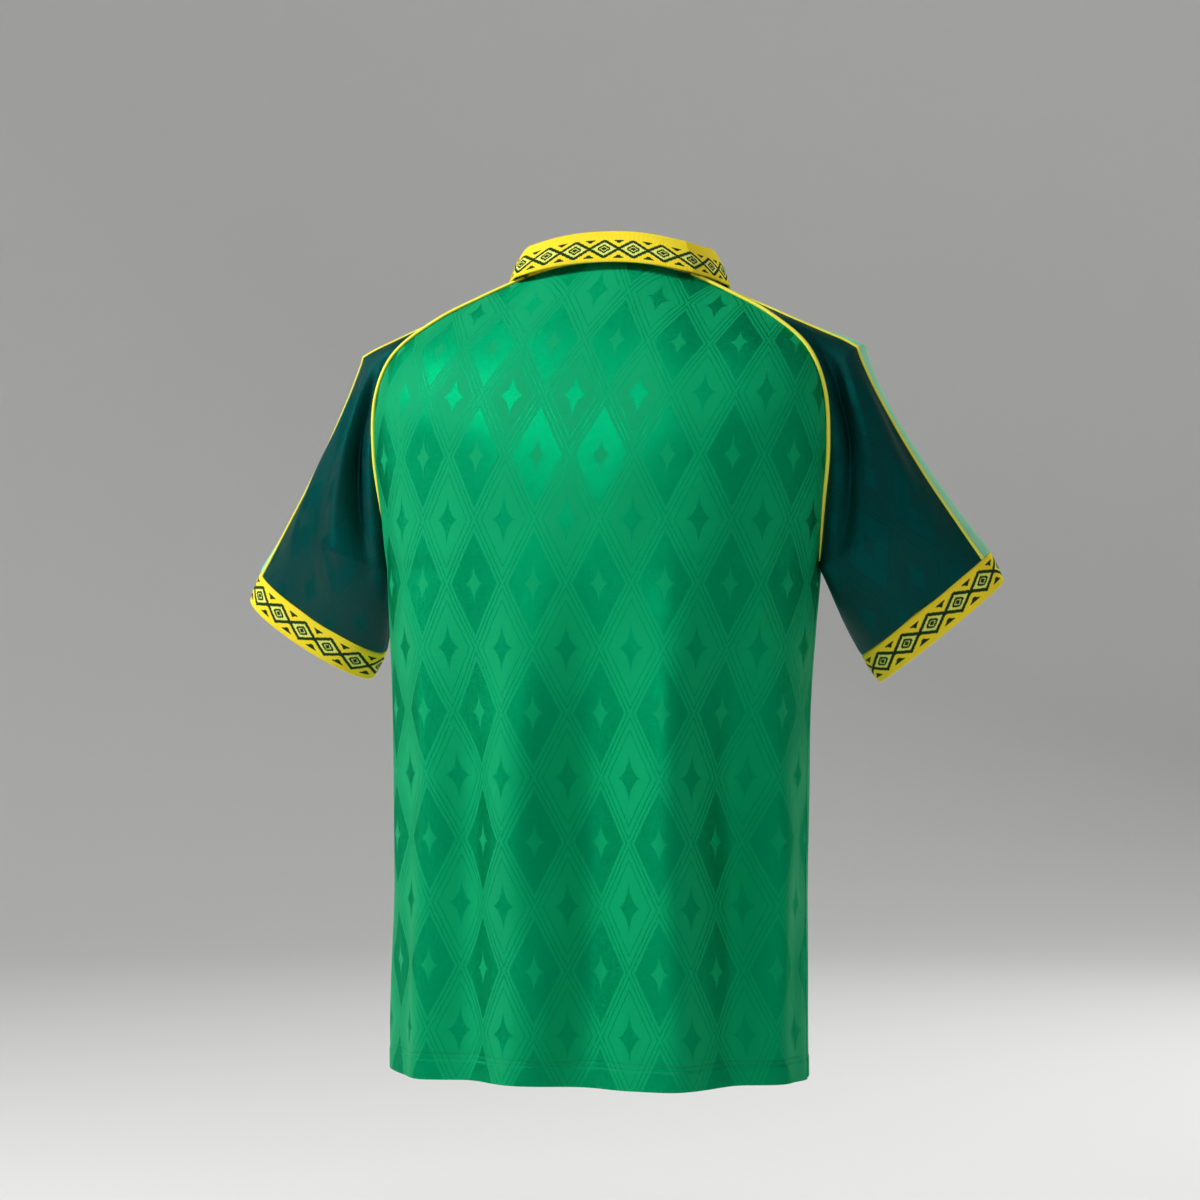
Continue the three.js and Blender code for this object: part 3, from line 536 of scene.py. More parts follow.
def sleevePanel(name):
    arm = arms[name]
    facing = -arm["side"]
    edges = np.array(sleeveCloth["edgeColumns"])
    places = spread(0, 1, sleeveCloth["columnStep"], np.concatenate([[0.5], edges, 1 - edges]))
    lowRows = shape["cuffAt"] + np.array(sleeveCloth["cuffRows"])
    topRows = (shape["shoulderAt"], *shape["topRows"])
    ats = panelRows(shape["cuffAt"], sleeveCloth["rowStep"], lowRows, topRows)
    middle = int(np.argmin(np.abs(places - 0.5)))
    base = sleeveSurface(arm, places, ats)
    normals = softened(gridNormals(base, facing), sleeveCloth["softRows"])
    free = smoothStep(np.minimum(places, 1 - places), 0, sleeveCloth["foldMargin"])
    points = folded(name, base, normals, free, places, ats)
    u, v = clothMeasure(points, middle)
    edgeGap = np.minimum(u - u[:, :1], u[:, -1:] - u)
    topGap = v[-1:, :] - v
    nearBand = smoothStep(np.abs(u), *sleeveCloth["bandMargin"])
    under = sleeveCloth["underBand"]
    soft = smoothStep(edgeGap, 0, sleeveCloth["sideMargin"])
    soft = soft * smoothStep(topGap, 0, panelCloth["topMargin"]) * (under + (1 - under) * nearBand)
    height = soft * clothRelief(u, v, sleeveRelief, name)
    creased = smoothStep(edgeGap, 0, sleeveCloth["creaseMargin"]) * nearBand
    height += creased * creaseHeight(sleeveCreases[name], u, v)
    height = dipped(height, edgeGap, topGap)
    height -= sleeveCloth["cuffDip"] * ridge(v, sleeveCloth["cuffWidth"])
    outer = points + normals * height[..., None]
    normals = gridNormals(outer, facing)
    cloth = clothPiece(f"{name}SleeveCloth", outer, normals, panelCloth["thickness"], u, v)
    return {**cloth, "middle": middle}


sleeves = {name: sleevePanel(name) for name in arms}
print("sleeves:", {k: len(p["piece"].data.polygons) for k, p in sleeves.items()})

# Piping on the raglan seams
raglanPiping = {
    "halfWidth": 2.0, "halfHeight": 1.5, "lift": 1.0, "sides": 12, "endShare": 0.55,
    "ats": (1.015, 1.9905, 0.0075), "beside": (0.0, 0.02, 0.04), "inside": (0, -45, 0),
    "facing": (1, 1, 0.3),
}


def seamLine(face, name):
    arm = arms[name]
    ats = np.arange(*raglanPiping["ats"])
    beside = np.array(raglanPiping["beside"])
    body = bodySurface(face, (1 - beside) * arm["side"], ats)
    sleeve = sleeveSurface(arm, beside if face == "back" else 1 - beside, ats)
    path = body[:, 0]
    along = unit(np.gradient(path, axis=0))
    sides = []
    for near in (body[:, 2], sleeve[:, 2]):
        away = near - path
        sides.append(unit(away - along * dot(away, along)))
    outward = (path - raglanPiping["inside"]) * raglanPiping["facing"]
    normal = unit(np.cross(sides[0] - sides[1], along))
    normal = np.where(dot(normal, outward) < 0, -normal, normal)
    steep = np.maximum(0, np.maximum(*[dot(side, normal) for side in sides]))
    return path, normal, raglanPiping["lift"] + steep * raglanPiping["halfWidth"]


pipings = {}
for name in arms:
    for face in ("back", "front"):
        path, normal, lift = seamLine(face, name)
        label = f"{face}{name.capitalize()}RaglanPiping"
        pipings[(face, name)] = tube(label, path, normal, raglanPiping, lift)
print("raglan piping:", len(pipings))

# Band and its piping along the top of each sleeve
sleeveBand = {
    "halfWidth": 21, "tuck": 0.4, "columns": 17, "clearRows": 3, "lift": 0.55, "edgeDip": 0.25,
    "edgeWidth": 0.5, "thickness": 0.6,
}
bandPiping = {"halfWidth": 1.6, "halfHeight": 1.2, "lift": 0.5, "sides": 10, "endShare": 0.55}


def besideTop(sleeve, distances):
    clear = -sleeveBand["clearRows"]
    points, normals = [], []
    for row, u, rowNormals in zip(sleeve["points"][:clear], sleeve["u"], sleeve["normals"]):
        points.append(interpolate(distances, u, row))
        normals.append(unit(interpolate(distances, u, rowNormals)))
    return np.array(points), np.array(normals)


bands = {}
bandPipings = {}
for name, sleeve in sleeves.items():
    inside = sleeveBand["halfWidth"] - 2 * bandPiping["halfWidth"] + sleeveBand["tuck"]
    distances = np.linspace(-inside, inside, sleeveBand["columns"])
    points, normals = besideTop(sleeve, distances)
    atEdge = np.abs(distances) > inside - sleeveBand["edgeWidth"]
    crown = sleeveBand["lift"] - sleeveBand["edgeDip"] * atEdge
    outer = points + normals * crown[None, :, None]
    upward = sleeve["v"][: len(points), sleeve["middle"], None]
    lengthUp = np.tile(upward, (1, len(distances)))
    across = np.tile(distances[None, :], (len(points), 1))
    label = f"{name}SleeveBand"
    bands[name] = clothPiece(label, outer, normals, sleeveBand["thickness"], across, lengthUp)
    for face, direction in (("back", -1), ("front", 1)):
        middle = direction * (sleeveBand["halfWidth"] - bandPiping["halfWidth"])
        line, up = besideTop(sleeve, np.array([middle]))
        label = f"{face}{name.capitalize()}BandPiping"
        bandPipings[(face, name)] = tube(label, line[:, 0], up[:, 0], bandPiping, bandPiping["lift"])
print("bands:", len(bands), "band piping:", len(bandPipings))

# Cuffs
cuffKnit = {
    "columns": 260, "rows": 22, "edgeRows": (0, 0.25, 0.8), "girth": 336, "thickness": 2.0,
    "gap": 0.3, "belly": 0.9, "topDip": 0.9, "topWidth": 0.8, "lipDip": 0.8, "lipWidth": 0.5,
}


def cuffRing(name):
    arm = arms[name]
    places = np.linspace(0, 1, cuffKnit["columns"] + 1)[:-1]
    row = sleeveSurface(arm, places, np.array([shape["cuffAt"], shape["cuffAt"] + 0.01]))
    ring = row[0]
    normals = gridNormals(row, -arm["side"], ring=True)[0]
    topShare = ((1 - np.cos(2 * np.pi * places)) / 2)[:, None]
    fall = np.array(cuffFall["under"]) * (1 - topShare) + np.array(cuffFall["top"]) * topShare
    fall = unit(fall * np.array([arm["side"], 1, 1]))
    depth, gap = shape["cuffDepth"], cuffKnit["gap"]
    edgeRows = np.array(cuffKnit["edgeRows"])
    even = np.linspace(gap, depth, cuffKnit["rows"])
    t = np.unique(np.concatenate([even, edgeRows + gap, depth - edgeRows]))
    belly = cuffKnit["belly"] * np.sin(np.pi * t / depth)
    top = -cuffKnit["topDip"] * ridge(t - gap, cuffKnit["topWidth"])
    lip = -cuffKnit["lipDip"] * ridge(depth - t, cuffKnit["lipWidth"])
    height = belly + top + lip
    outer = ring[None] + fall[None] * t[:, None, None] + normals[None] * height[:, None, None]
    wall = cuffKnit["thickness"] + top + 2 * lip
    step = np.linalg.norm(np.roll(ring, -1, 0) - ring, axis=1)
    girth = step.sum()
    around = np.concatenate([[0], np.cumsum(step)])[:-1] * (cuffKnit["girth"] / girth)
    u = np.tile(around[None, :], (len(t), 1))
    v = np.tile((depth - t)[:, None], (1, len(places)))
    cuff = clothPiece(f"{name}CuffKnit", outer, normals[None], wall[:, None], u, v, ring=True)
    closeSeamUv(cuff["piece"], cuffKnit["girth"])
    closed = np.concatenate([outer, outer[:, :1]], 1)
    return {**cuff, "points": closed, "u": np.array([0.0, girth])}


# The faces over the start of the ring run on to a full turn, so that the pattern meets itself
def closeSeamUv(piece, girth):
    layer = piece.data.uv_layers["clothMap"]
    for face in piece.data.polygons:
        values = [layer.data[k].uv[0] for k in face.loop_indices]
        if max(values) - min(values) > girth / 2000:
            for k in face.loop_indices:
                if layer.data[k].uv[0] < girth / 2000:
                    layer.data[k].uv[0] += girth / 1000


cuffs = {name: cuffRing(name) for name in arms}
print("cuffs:", len(cuffs))

# Collar: stand, fold and leaf in one knitted strip
collarKnit = {
    "thickness": 2.0, "foldRadius": 3.2, "foldShare": 0.6, "foldTurn": 0.9, "gap": 0.15,
    "belly": 1.5, "parting": 3, "partingEnd": 0.5, "endStep": 0.024, "sideStep": 0.032,
    "foldRows": 12, "leafRows": 24, "leafEnd": (0.96, 0.985, 1.0), "edgeWidth": 0.7,
    "edgeDip": 0.55, "edgeThinning": 1.1,
}


# The seam from the front's middle (0) over the sleeve (1 to 3) to the back's middle (4)
def neckLine(side):
    top = np.array([1.99, 2.0])
    front = np.arange(0, 1, collarKnit["endStep"])
    over = np.arange(1, 3, collarKnit["sideStep"])
    back = np.append(np.arange(3, 4, collarKnit["endStep"]), 4)
    pieces = [
        bodySurface("front", front * side, top)[1],
        sleeveSurface(arms["left" if side > 0 else "right"], (3 - over) / 2, top)[1],
        bodySurface("back", (4 - back) * side, top)[1],
    ]
    return np.concatenate(pieces), np.concatenate([front, over, back])


def collarHalf(side):
    seam, ats = neckLine(side)
    flip = np.array([side, 1, 1])
    toFold = readPoint(collarRows, ats, "foldX foldY foldZ") * flip
    toEdge = readPoint(collarRows, ats, "edgeX edgeY edgeZ") * flip
    parting = np.maximum(0, 1 - ats / collarKnit["partingEnd"])[:, None] * collarKnit["parting"] * side
    seam = seam + parting * np.array([1, 0, 0])
    rise = np.linalg.norm(toFold, axis=1, keepdims=True)
    upward = unit(toFold)
    foldTop = seam + toFold
    leafEdge = seam + toEdge
    out = leafEdge - foldTop
    out = unit(out - upward * dot(out, upward))
    wall = collarKnit["thickness"]
    start = seam + upward * collarKnit["gap"] - out * wall
    radius = np.minimum(collarKnit["foldRadius"], rise * collarKnit["foldShare"])
    centre = foldTop + out * (radius - wall) - upward * radius
    sections, faces = [], []
    standTop = centre - out * radius
    shares = np.linspace(0, 1, collarKnit["foldRows"])
    for t in shares[:-1]:
        sections.append(start * (1 - t) + standTop * t)
        faces.append(-out)
    for t in shares:
        angle = math.pi * t * collarKnit["foldTurn"]
        spoke = -out * math.cos(angle) + upward * math.sin(angle)
        sections.append(centre + spoke * radius)
        faces.append(spoke)
    leafStart = sections[-1]
    fall = unit(leafEdge - leafStart)
    face = unit(out - fall * dot(out, fall))
    nearEdge, *edgeRows = collarKnit["leafEnd"]
    for t in np.append(np.linspace(0, nearEdge, collarKnit["leafRows"])[1:], edgeRows):
        belly = collarKnit["belly"] * math.sin(math.pi * t)
        sections.append(leafStart * (1 - t) + leafEdge * t + face * belly)
        faces.append(face)
    return np.stack(sections, 1), np.stack(faces, 1)


def buildCollar():
    left, leftNormals = collarHalf(1)
    right, rightNormals = collarHalf(-1)
    outer = np.concatenate([left, right[:-1][::-1]])
    normals = np.concatenate([leftNormals, rightNormals[:-1][::-1]])
    v = lengthAlong(outer, 1)
    v = v[:, -1:] - v
    length = lengthAlong(outer[:, -collarKnit["leafRows"] // 2])
    u = np.tile((length - length[len(left) - 1])[:, None], (1, outer.shape[1]))
    atEdge = ridge(v, collarKnit["edgeWidth"])
    wall = collarKnit["thickness"] - collarKnit["edgeThinning"] * atEdge
    outer = outer - normals * (collarKnit["edgeDip"] * atEdge)[..., None]
    return clothPiece("collarKnitPiece", outer, normals, wall, u, v)


collar = buildCollar()
print("collar:", len(collar["piece"].data.polygons))


# Node helpers: a socket is fed with a link or with a plain value
def feed(socket, value):
    if isinstance(value, bpy.types.NodeSocket):
        socket.id_data.links.new(value, socket)
    else:
        socket.default_value = value


def feedAll(node, values):
    for label, value in values.items():
        feed(node.inputs[label], value)


def newNode(tree, kind, inputs=()):
    node = tree.nodes.new(kind)
    feedAll(node, dict(inputs))
    return node


def calc(operation, *values):
    tree = next(v.id_data for v in values if isinstance(v, bpy.types.NodeSocket))
    node = tree.nodes.new("ShaderNodeMath")
    node.operation = operation
    for socket, value in zip(node.inputs, values):
        feed(socket, value)
    return node.outputs[0]


plus, minus, times, over = (partial(calc, kind) for kind in ("ADD", "SUBTRACT", "MULTIPLY", "DIVIDE"))
larger, above, below = (partial(calc, kind) for kind in ("MAXIMUM", "GREATER_THAN", "LESS_THAN"))
size, part, whole, sine = (partial(calc, kind) for kind in ("ABSOLUTE", "FRACT", "FLOOR", "SINE"))

# Stitches: two rows at the hem and one under the collar
stitching = {"pitch": 3.0, "length": 2.3, "radius": 0.2, "rise": 0.12, "segments": 6, "rings": 4}
stitchRows = {"hem": hem["seamRows"], "hemTrim": 2, "belowNeck": 6.0, "neckTrim": 3}


def buildStitchTree():
    tree = bpy.data.node_groups.new("stitchRow", "GeometryNodeTree")
    sockets = {}
    kinds = {"Path": "Geometry", "Thread": "Material"}
    for label in ("Path", "Pitch", "Stitch Length", "Thread Radius", "Thread"):
        kind = f"NodeSocket{kinds.get(label, 'Float')}"
        sockets[label] = tree.interface.new_socket(label, in_out="INPUT", socket_type=kind).identifier
    tree.interface.new_socket("Stitches", in_out="OUTPUT", socket_type="NodeSocketGeometry")
    given = newNode(tree, "NodeGroupInput").outputs
    resample = newNode(tree, "GeometryNodeResampleCurve")
    resample.mode = "LENGTH"
    feedAll(resample, {"Curve": given["Path"], "Length": given["Pitch"]})
    tangent = newNode(tree, "GeometryNodeInputTangent").outputs[0]
    align = newNode(tree, "FunctionNodeAlignRotationToVector", {"Vector": tangent})
    align.axis = "Z"
    detail = {"Segments": stitching["segments"], "Rings": stitching["rings"], "Radius": 1}
    grain = newNode(tree, "GeometryNodeMeshUVSphere", detail)
    radius, half = given["Thread Radius"], times(given["Stitch Length"], 0.5)
    widths = newNode(tree, "ShaderNodeCombineXYZ", {"X": radius, "Y": radius, "Z": half})
    seats = {"Points": resample.outputs["Curve"], "Instance": grain.outputs["Mesh"]}
    turned = {"Rotation": align.outputs[0], "Scale": widths.outputs[0]}
    place = newNode(tree, "GeometryNodeInstanceOnPoints", {**seats, **turned})
    realize = newNode(tree, "GeometryNodeRealizeInstances", {"Geometry": place.outputs["Instances"]})
    dyed = {"Geometry": realize.outputs["Geometry"], "Material": given["Thread"]}
    paint = newNode(tree, "GeometryNodeSetMaterial", dyed)
    newNode(tree, "NodeGroupOutput", {"Stitches": paint.outputs["Geometry"]})
    return tree, sockets


def stitchRow(name, lines, tree, sockets, material):
    curve = bpy.data.curves.new(f"{name}Path", "CURVE")
    curve.dimensions = "3D"
    for line in lines:
        spline = curve.splines.new("POLY")
        spline.points.add(len(line) - 1)
        flat = np.concatenate([line / 1000, np.ones((len(line), 1))], 1)
        spline.points.foreach_set("co", flat.ravel())
    path = newObject(f"{name}Path", curve)
    modifier = path.modifiers.new("stitches", "NODES")
    modifier.node_group = tree
    for label, value in (("Pitch", "pitch"), ("Stitch Length", "length"), ("Thread Radius", "radius")):
        modifier[sockets[label]] = stitching[value] / 1000
    modifier[sockets["Thread"]] = material
    bpy.context.view_layer.update()
    graph = bpy.context.evaluated_depsgraph_get()
    mesh = bpy.data.meshes.new_from_object(path.evaluated_get(graph))
    path.modifiers.remove(modifier)
    bpy.data.objects.remove(path)
    return newObject(name, mesh)


# A line over the cloth at one distance from its lower or its upper edge
def levelLine(cloth, distance, trim, fromTop=False):
    line = []
    for k in range(cloth["points"].shape[1]):
        v = cloth["v"][:, k]
        reach = v[-1] - distance if fromTop else distance
        point, normal = (interpolate(reach, v, cloth[grid][:, k]) for grid in ("points", "normals"))
        line.append(point + normal * stitching["rise"])
    line = np.array(line)
    length = lengthAlong(line)
    return line[(length > trim) & (length < length[-1] - trim)]


# Materials. Screen colours are given from 0 to 255 and made linear.
def linear(*screen):
    light = [c / 3294.6 if c <= 10.31 else ((c / 255 + 0.055) / 1.055) ** 2.4 for c in screen]
    return (*light, 1.0)


cloths = {
    "bodySatin": {
        "ground": linear(0, 155, 97), "figure": linear(0, 145, 93), "shade": linear(0, 136, 80),
        "gloss": (0.06, 1.0, 0.66, 1), "shine": 0.4, "groundRough": 0.6, "figureRough": 0.46,
        "figureMetal": 1.0, "sheen": 0.03, "width": 0.06, "height": 0.116,
        "shift": (0.0, 0.012, 0.0),
    },
    "sleeveSatin": {
        "ground": linear(0, 50, 46), "figure": linear(0, 68, 65), "shade": linear(0, 27, 24),
        "gloss": (0.03, 0.7, 0.68, 1), "shine": 0.55, "groundRough": 0.5, "figureRough": 0.42,
        "figureMetal": 0.85, "sheen": 0.0, "width": 0.06, "height": 0.116,
        "shift": (0.022, 0.03, 0.0),
    },
}
satinGrain = {
    "pitch": 0.0009, "depth": 0.00012, "figureDepth": 0.00006, "cloud": (7.0, 0.35),
    "grain": (1100.0, 0.55), "mottle": 0.8, "speckle": (420.0, 0.9, 0.42), "sheenRoughness": 0.35,
}
knits = {
    "collarKnit": {"bandFrom": 0.0025, "bandTo": 0.0215, "repeat": 0.056},
    "cuffKnit": {"bandFrom": 0.0055, "bandTo": 0.0255, "repeat": 0.056},
}
knitColours = {
    "yellow": linear(253, 230, 54),
    # shade: painted shade, the darker yellow laid into the grooves between the ribs
    "shade": linear(238, 206, 36),
    "ground": linear(226, 232, 112),
    "ornament": linear(8, 52, 24),
}


def newGroup(name, inputs, outputs):
    tree = bpy.data.node_groups.new(name, "ShaderNodeTree")
    for direction, labels in (("INPUT", inputs), ("OUTPUT", outputs)):
        for label in labels.split(", "):
            kind = "NodeSocketVector" if label == "Vector" else "NodeSocketFloat"
            tree.interface.new_socket(label, in_out=direction, socket_type=kind)
    return tree, newNode(tree, "NodeGroupInput").outputs


def splitVector(vector):
    return newNode(vector.id_data, "ShaderNodeSeparateXYZ", {"Vector": vector}).outputs[:2]


# Lozenges in rows, with a cut star in every other one and a small star and line in the rest
def buildWovenFigure():
    tree, given = newGroup("wovenFigure", "Vector, Width, Height", "Figure")
    x, y = splitVector(given["Vector"])
    across = over(x, given["Width"])
    along = over(y, given["Height"])
    rising = plus(across, along)
    falling = minus(across, along)
    risingPart = minus(part(rising), 0.5)
    fallingPart = minus(part(falling), 0.5)
    inward = minus(0.5, larger(size(risingPart), size(fallingPart)))
    wide = size(plus(risingPart, fallingPart))
    tall = size(minus(risingPart, fallingPart))
    star = plus(calc("POWER", wide, 0.6), calc("POWER", tall, 0.6))
    every = calc("FLOORED_MODULO", plus(whole(rising), whole(falling)), 2.0)
    frameLine = calc("COMPARE", inward, 0.035, 0.011)
    cutStar = times(above(inward, 0.095), above(star, 0.5))
    starAndLine = larger(below(star, 0.58), calc("COMPARE", inward, 0.13, 0.009))
    even = times(cutStar, below(every, 0.5))
    odd = times(starAndLine, above(every, 0.5))
    newNode(tree, "NodeGroupOutput", {"Figure": larger(frameLine, larger(even, odd))})
    return tree


# Knitted loops in slanting pairs, and the upright wales between them
def knitLoops(given):
    x, y = splitVector(given["Vector"])
    columns = over(x, given["Pitch"])
    rows = over(y, given["Pitch"])
    bend = size(minus(part(columns), 0.5))
    loop = size(sine(times(plus(rows, bend), math.pi)))
    return loop, size(sine(times(columns, math.pi)))


def buildFineKnit():
    tree, given = newGroup("fineKnit", "Vector, Pitch, Depth", "Height")
    loop, wale = knitLoops(given)
    newNode(tree, "NodeGroupOutput", {"Height": times(times(loop, wale), given["Depth"])})
    return tree


# Rib height, and a groove mask that places painted shade between the ribs
def buildRib():
    tree, given = newGroup("ribKnit", "Vector, Pitch, Depth", "Height, Groove")
    loop, bar = knitLoops(given)
    both = plus(times(bar, 0.75), times(loop, 0.25))
    newNode(tree, "NodeGroupOutput", {"Height": times(both, given["Depth"]), "Groove": minus(1.0, bar)})
    return tree


# A chain of lozenges with small triangles beside it, in whole stitches
def buildZigzag():
    inputs = "Vector, Band From, Band To, Repeat, Stitch"
    tree, given = newGroup("zigzagOrnament", inputs, "Band, Ornament")
    stitch, low, high = given["Stitch"], given["Band From"], given["Band To"]
    x, y = (times(whole(over(value, stitch)), stitch) for value in splitVector(given["Vector"]))
    band = times(above(y, low), below(y, high))
    middle = times(plus(low, high), 0.5)
    half = times(minus(high, low), 0.5)
    off = size(over(minus(y, middle), half))
    wave = part(over(x, given["Repeat"]))
    zig = minus(times(size(minus(wave, 0.5)), 4.0), 1.0)
    peak = size(times(zig, 0.88))
    chain = calc("COMPARE", off, peak, 0.17)
    inner = times(calc("COMPARE", off, minus(peak, 0.5), 0.1), above(peak, 0.5))
    gem = below(plus(minus(1.0, size(zig)), off), 0.22)
    corner = minus(plus(size(zig), 1.0), off)
    lines = larger(chain, larger(inner, larger(gem, below(corner, 0.42))))
    made = {"Band": times(below(off, peak), band), "Ornament": times(lines, band)}
    newNode(tree, "NodeGroupOutput", made)
    return tree


groups = {"woven": buildWovenFigure(), "knit": buildFineKnit(), "zigzag": buildZigzag(), "rib": buildRib()}


def newMaterial(name):
    material = bpy.data.materials.new(name)
    material.use_nodes = True
    tree = material.node_tree
    return material, tree, next(n for n in tree.nodes if n.type == "BSDF_PRINCIPLED")


def useGroup(tree, group, values):
    node = newNode(tree, "ShaderNodeGroup")
    node.node_tree = groups[group]
    feedAll(node, values)
    return node.outputs


def clothVector(tree, shift=(0, 0, 0)):
    source = newNode(tree, "ShaderNodeUVMap")
    source.uv_map = "clothMap"
    return newNode(tree, "ShaderNodeMapping", {"Vector": source.outputs[0], "Location": shift}).outputs[0]


def mixColour(tree, mask, first, second):
    node = newNode(tree, "ShaderNodeMix")
    node.data_type = "RGBA"
    for label, value in {"Factor": mask, "A": first, "B": second}.items():
        feed(next(s for s in node.inputs if s.name == label and s.enabled), value)
    return next(s for s in node.outputs if s.enabled)


def objectNoise(tree, scale):
    where = newNode(tree, "ShaderNodeTexCoord").outputs["Object"]
    given = {"Vector": where, "Scale": scale, "Detail": 2}
    return newNode(tree, "ShaderNodeTexNoise", given).outputs[0]


def bump(tree, height):
    given = {"Distance": 1.0, "Strength": 1.0, "Height": height}
    return newNode(tree, "ShaderNodeBump", given).outputs[0]


def satinMaterial(name):
    look, grain = cloths[name], satinGrain
    material, tree, shader = newMaterial(name)
    vector = clothVector(tree, look["shift"])
    sizes = {"Vector": vector, "Width": look["width"], "Height": look["height"]}
    figure = useGroup(tree, "woven", sizes)["Figure"]
    weave = {"Vector": vector, "Pitch": grain["pitch"], "Depth": grain["depth"]}
    knit = useGroup(tree, "knit", weave)["Height"]
    cloud, fine = (times(objectNoise(tree, grain[k][0]), grain[k][1]) for k in ("cloud", "grain"))
    mottle = times(plus(cloud, fine), grain["mottle"])
    ground = mixColour(tree, mottle, look["ground"], look["shade"])
    roughChange = look["figureRough"] - look["groundRough"]
    scale, gain, least = grain["speckle"]
    speckle = calc("MULTIPLY_ADD", objectNoise(tree, scale), gain, least)
    finish = {
        "Base Color": mixColour(tree, figure, ground, look["figure"]),
        "Roughness": calc("MULTIPLY_ADD", figure, roughChange, look["groundRough"]),
        "Metallic": times(times(figure, look["figureMetal"]), speckle),
        "Sheen Weight": look["sheen"],
        "Sheen Roughness": grain["sheenRoughness"],
        "Sheen Tint": look["ground"],
        "Specular IOR Level": look["shine"],
        "Specular Tint": look["gloss"],
        "Normal": bump(tree, plus(knit, times(figure, grain["figureDepth"]))),
    }
    feedAll(shader, finish)
    return material


ribLook = {"pitch": 0.0013, "depth": 0.0004, "stitch": 0.0008}
ribLook["finish"] = {"Roughness": 0.82, "Specular IOR Level": 0.3, "Specular Tint": (1.0, 0.85, 0.3, 1)}


def knitMaterial(name):
    look = knits[name]
    material, tree, shader = newMaterial(name)
    vector = clothVector(tree)
    rib = useGroup(tree, "rib", {"Vector": vector, "Pitch": ribLook["pitch"], "Depth": ribLook["depth"]})
    band = {"Vector": vector, "Band From": look["bandFrom"], "Band To": look["bandTo"]}
    zigzag = useGroup(tree, "zigzag", {**band, "Repeat": look["repeat"], "Stitch": ribLook["stitch"]})
    # The rib grooves get the darker yellow: painted shade in the recesses between the ribs
    ribWithGrooveShade = mixColour(tree, rib["Groove"], knitColours["yellow"], knitColours["shade"])
    withBand = mixColour(tree, zigzag["Band"], ribWithGrooveShade, knitColours["ground"])
    colour = mixColour(tree, zigzag["Ornament"], withBand, knitColours["ornament"])
    feedAll(shader, {"Base Color": colour, "Normal": bump(tree, rib["Height"]), **ribLook["finish"]})
    return material


plainLook = {"cloud": 40.0, "shine": 0.35}
threadLook = {"cloud": 900.0, "depth": 0.0001, "roughness": 0.5}


def plainCloth(name, colour, shade, rough, pitch, depth):
    material, tree, shader = newMaterial(name)
    weave = {"Vector": clothVector(tree), "Pitch": pitch, "Depth": depth}
    knit = useGroup(tree, "knit", weave)["Height"]
    mixed = mixColour(tree, objectNoise(tree, plainLook["cloud"]), colour, shade)
    feedAll(shader, {"Base Color": mixed, "Roughness": rough, "Normal": bump(tree, knit)})
    feedAll(shader, {"Specular IOR Level": plainLook["shine"]})
    return material


def threadMaterial(name, colour, shade):
    material, tree, shader = newMaterial(name)
    cloud = objectNoise(tree, threadLook["cloud"])
    mixed = mixColour(tree, cloud, colour, shade)
    feedAll(shader, {"Base Color": mixed, "Roughness": threadLook["roughness"]})
    feedAll(shader, {"Normal": bump(tree, times(cloud, threadLook["depth"]))})
    return material


looks = {
    "body": satinMaterial("bodySatin"),
    "sleeve": satinMaterial("sleeveSatin"),
    "collar": knitMaterial("collarKnit"),
    "cuff": knitMaterial("cuffKnit"),
    "piping": plainCloth("pipingSatin", linear(246, 244, 84), linear(232, 222, 60), 0.42, 0.0008, 0.0001),
    "band": plainCloth("bandKnit", linear(150, 220, 180), linear(128, 200, 158), 0.64, 0.0009, 0.00012),
    "thread": threadMaterial("greenThread", linear(10, 150, 92), linear(0, 96, 56)),
}
print("materials:", len(looks))

stitchTree, stitchSockets = buildStitchTree()
stitches = {}
for face, panel in panels.items():
    lines = [levelLine(panel, row, stitchRows["hemTrim"]) for row in stitchRows["hem"]]
    if face == "back":
        lines.append(levelLine(panel, stitchRows["belowNeck"], stitchRows["neckTrim"], fromTop=True))
    stitches[face] = stitchRow(f"{face}Stitches", lines, stitchTree, stitchSockets, looks["thread"])
print("stitches:", {k: len(p.data.polygons) for k, p in stitches.items()})

# What each piece is, and what it stands for: piece, look, and the nodes that it replaces
pieceRows = []
for face, panel in panels.items():
    pieceRows.append((panel["piece"], "body", f"{face}_panel"))
    pieceRows.append((stitches[face], "thread"))
for name in arms:
    pieceRows.append((sleeves[name]["piece"], "sleeve", f"sleeve_{name}"))
    pieceRows.append((cuffs[name]["piece"], "cuff", f"cuff_{name}"))
    pieceRows.append((bands[name]["piece"], "band", f"shoulder_band_{name}"))
    for face in ("back", "front"):
        pieceRows.append((pipings[(face, name)], "piping", f"raglan_piping_{face}_{name}"))
        pieceRows.append((bandPipings[(face, name)], "piping", f"band_piping_{face}_{name}"))
pieceRows.append((collar["piece"], "collar", "collar"))
for piece, look, *nodes in pieceRows:
    if nodes:
        piece.data.materials.append(looks[look])
    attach(piece, "root")
    if nodes:
        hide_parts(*nodes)


print("pieces declared:", len(pieceRows))

# Floor, light and surroundings, in metres
stageFloor = {
    "level": -1.05, "centre": 0.2, "radius": 6.5, "cove": 2.5, "coveSteps": 13, "height": 4.5,
    "sides": 96, "colour": (0.8, 0.8, 0.79, 1), "roughness": 0.9,
}


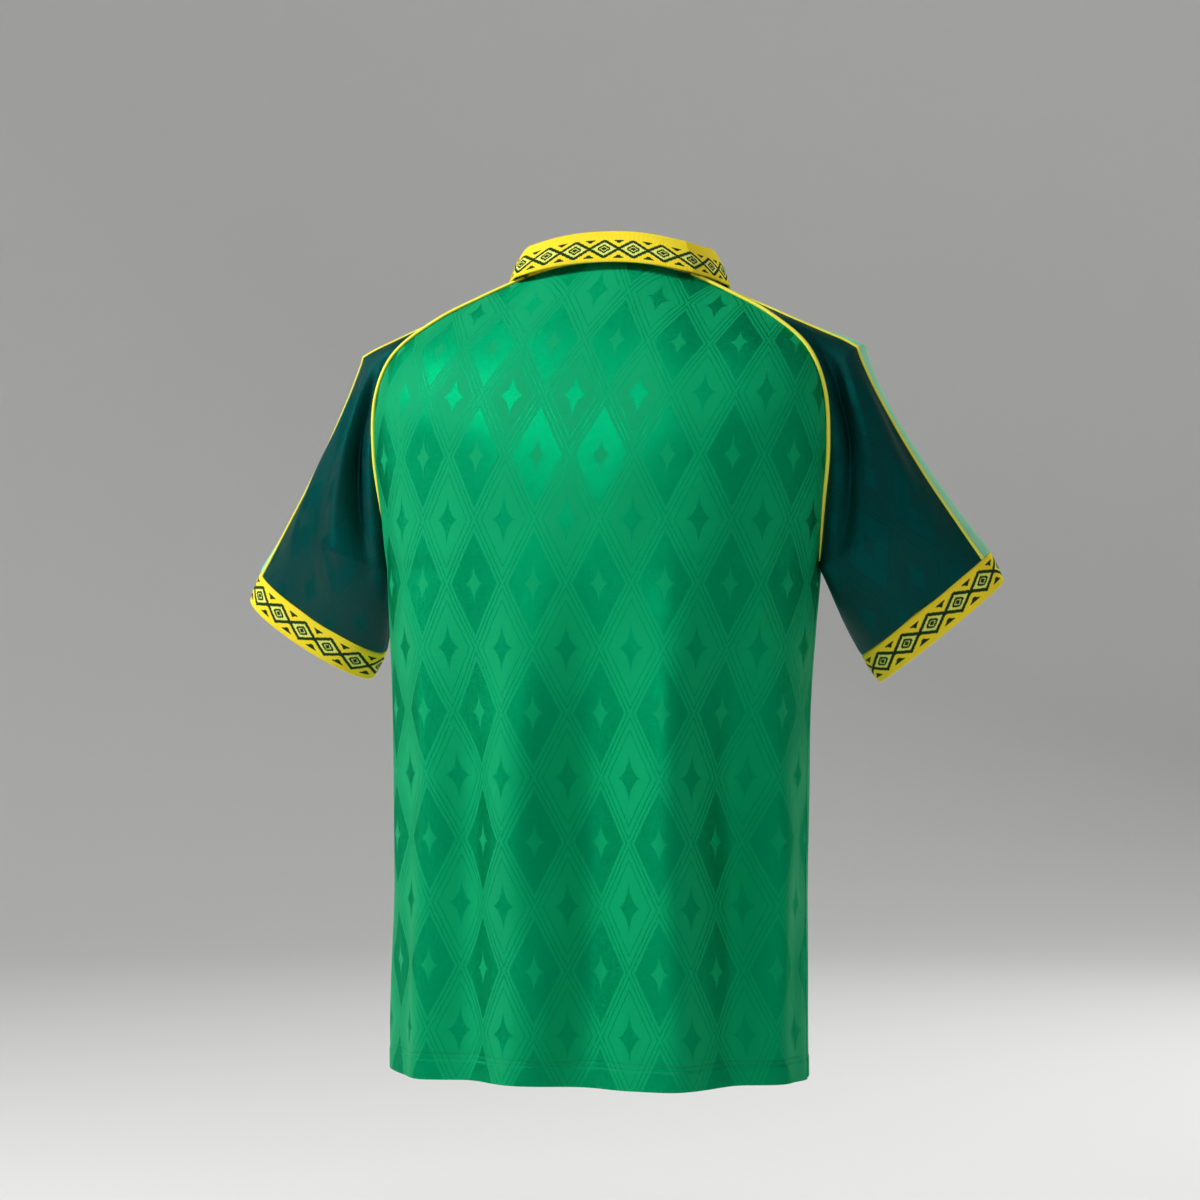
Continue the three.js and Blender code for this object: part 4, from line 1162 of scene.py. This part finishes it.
def buildFloor():
    cove, sides = stageFloor["cove"], stageFloor["sides"]
    bend = np.linspace(0, np.pi / 2, stageFloor["coveSteps"])
    flat = stageFloor["radius"] - cove
    reach = np.concatenate([[stageFloor["centre"]], flat + cove * np.sin(bend), [stageFloor["radius"]]])
    rise = np.concatenate([[0], cove * (1 - np.cos(bend)), [stageFloor["height"]]]) + stageFloor["level"]
    angles = np.linspace(0, 2 * np.pi, sides, endpoint=False)
    x, y = reach[:, None] * np.cos(angles), reach[:, None] * np.sin(angles)
    rings = np.stack(np.broadcast_arrays(x, y, rise[:, None]), -1)
    faces = quads(len(reach), sides, ring=True)[:, ::-1].tolist()
    return addObject("studioFloor", rings.reshape(-1, 3) * 1000, [list(range(sides))] + faces)


floor = buildFloor()
paint, _, shader = newMaterial("paleFloor")
feedAll(shader, {"Base Color": stageFloor["colour"], "Roughness": stageFloor["roughness"]})
floor.data.materials.append(paint)

lampAim = (0, 0, -0.3)
lamps = {
    "topLight": {"place": (-0.7, 2.3, 2.7), "size": 0.8, "power": 25, "glossy": True},
    "keyLight": {"place": (2.5, 1.6, 1.9), "size": 0.7, "power": 140, "glossy": True},
    "fillLight": {"place": (-3.4, 1.6, 1.2), "size": 1.5, "power": 6, "glossy": True},
    "frontLight": {"place": (-1.6, -3.2, 1.6), "size": 1.6, "power": 85, "glossy": False},
}
for name, lamp in lamps.items():
    light = bpy.data.lights.new(name, "AREA")
    light.shape = "DISK"
    light.size = lamp["size"]
    light.energy = lamp["power"]
    seat = newObject(name, light)
    seat.location = lamp["place"]
    seat.rotation_euler = (Vector(lampAim) - seat.location).to_track_quat("-Z", "Y").to_euler()
    seat.visible_glossy = lamp["glossy"]

surroundings = {"Color": (0.93, 0.94, 0.95, 1), "Strength": 0.11}
world = bpy.context.scene.world or bpy.data.worlds.new("studioWorld")
bpy.context.scene.world = world
world.use_nodes = True
feedAll(next(n for n in world.node_tree.nodes if n.type == "BACKGROUND"), surroundings)
bpy.context.scene.view_settings.view_transform = "Standard"
print("stage set")
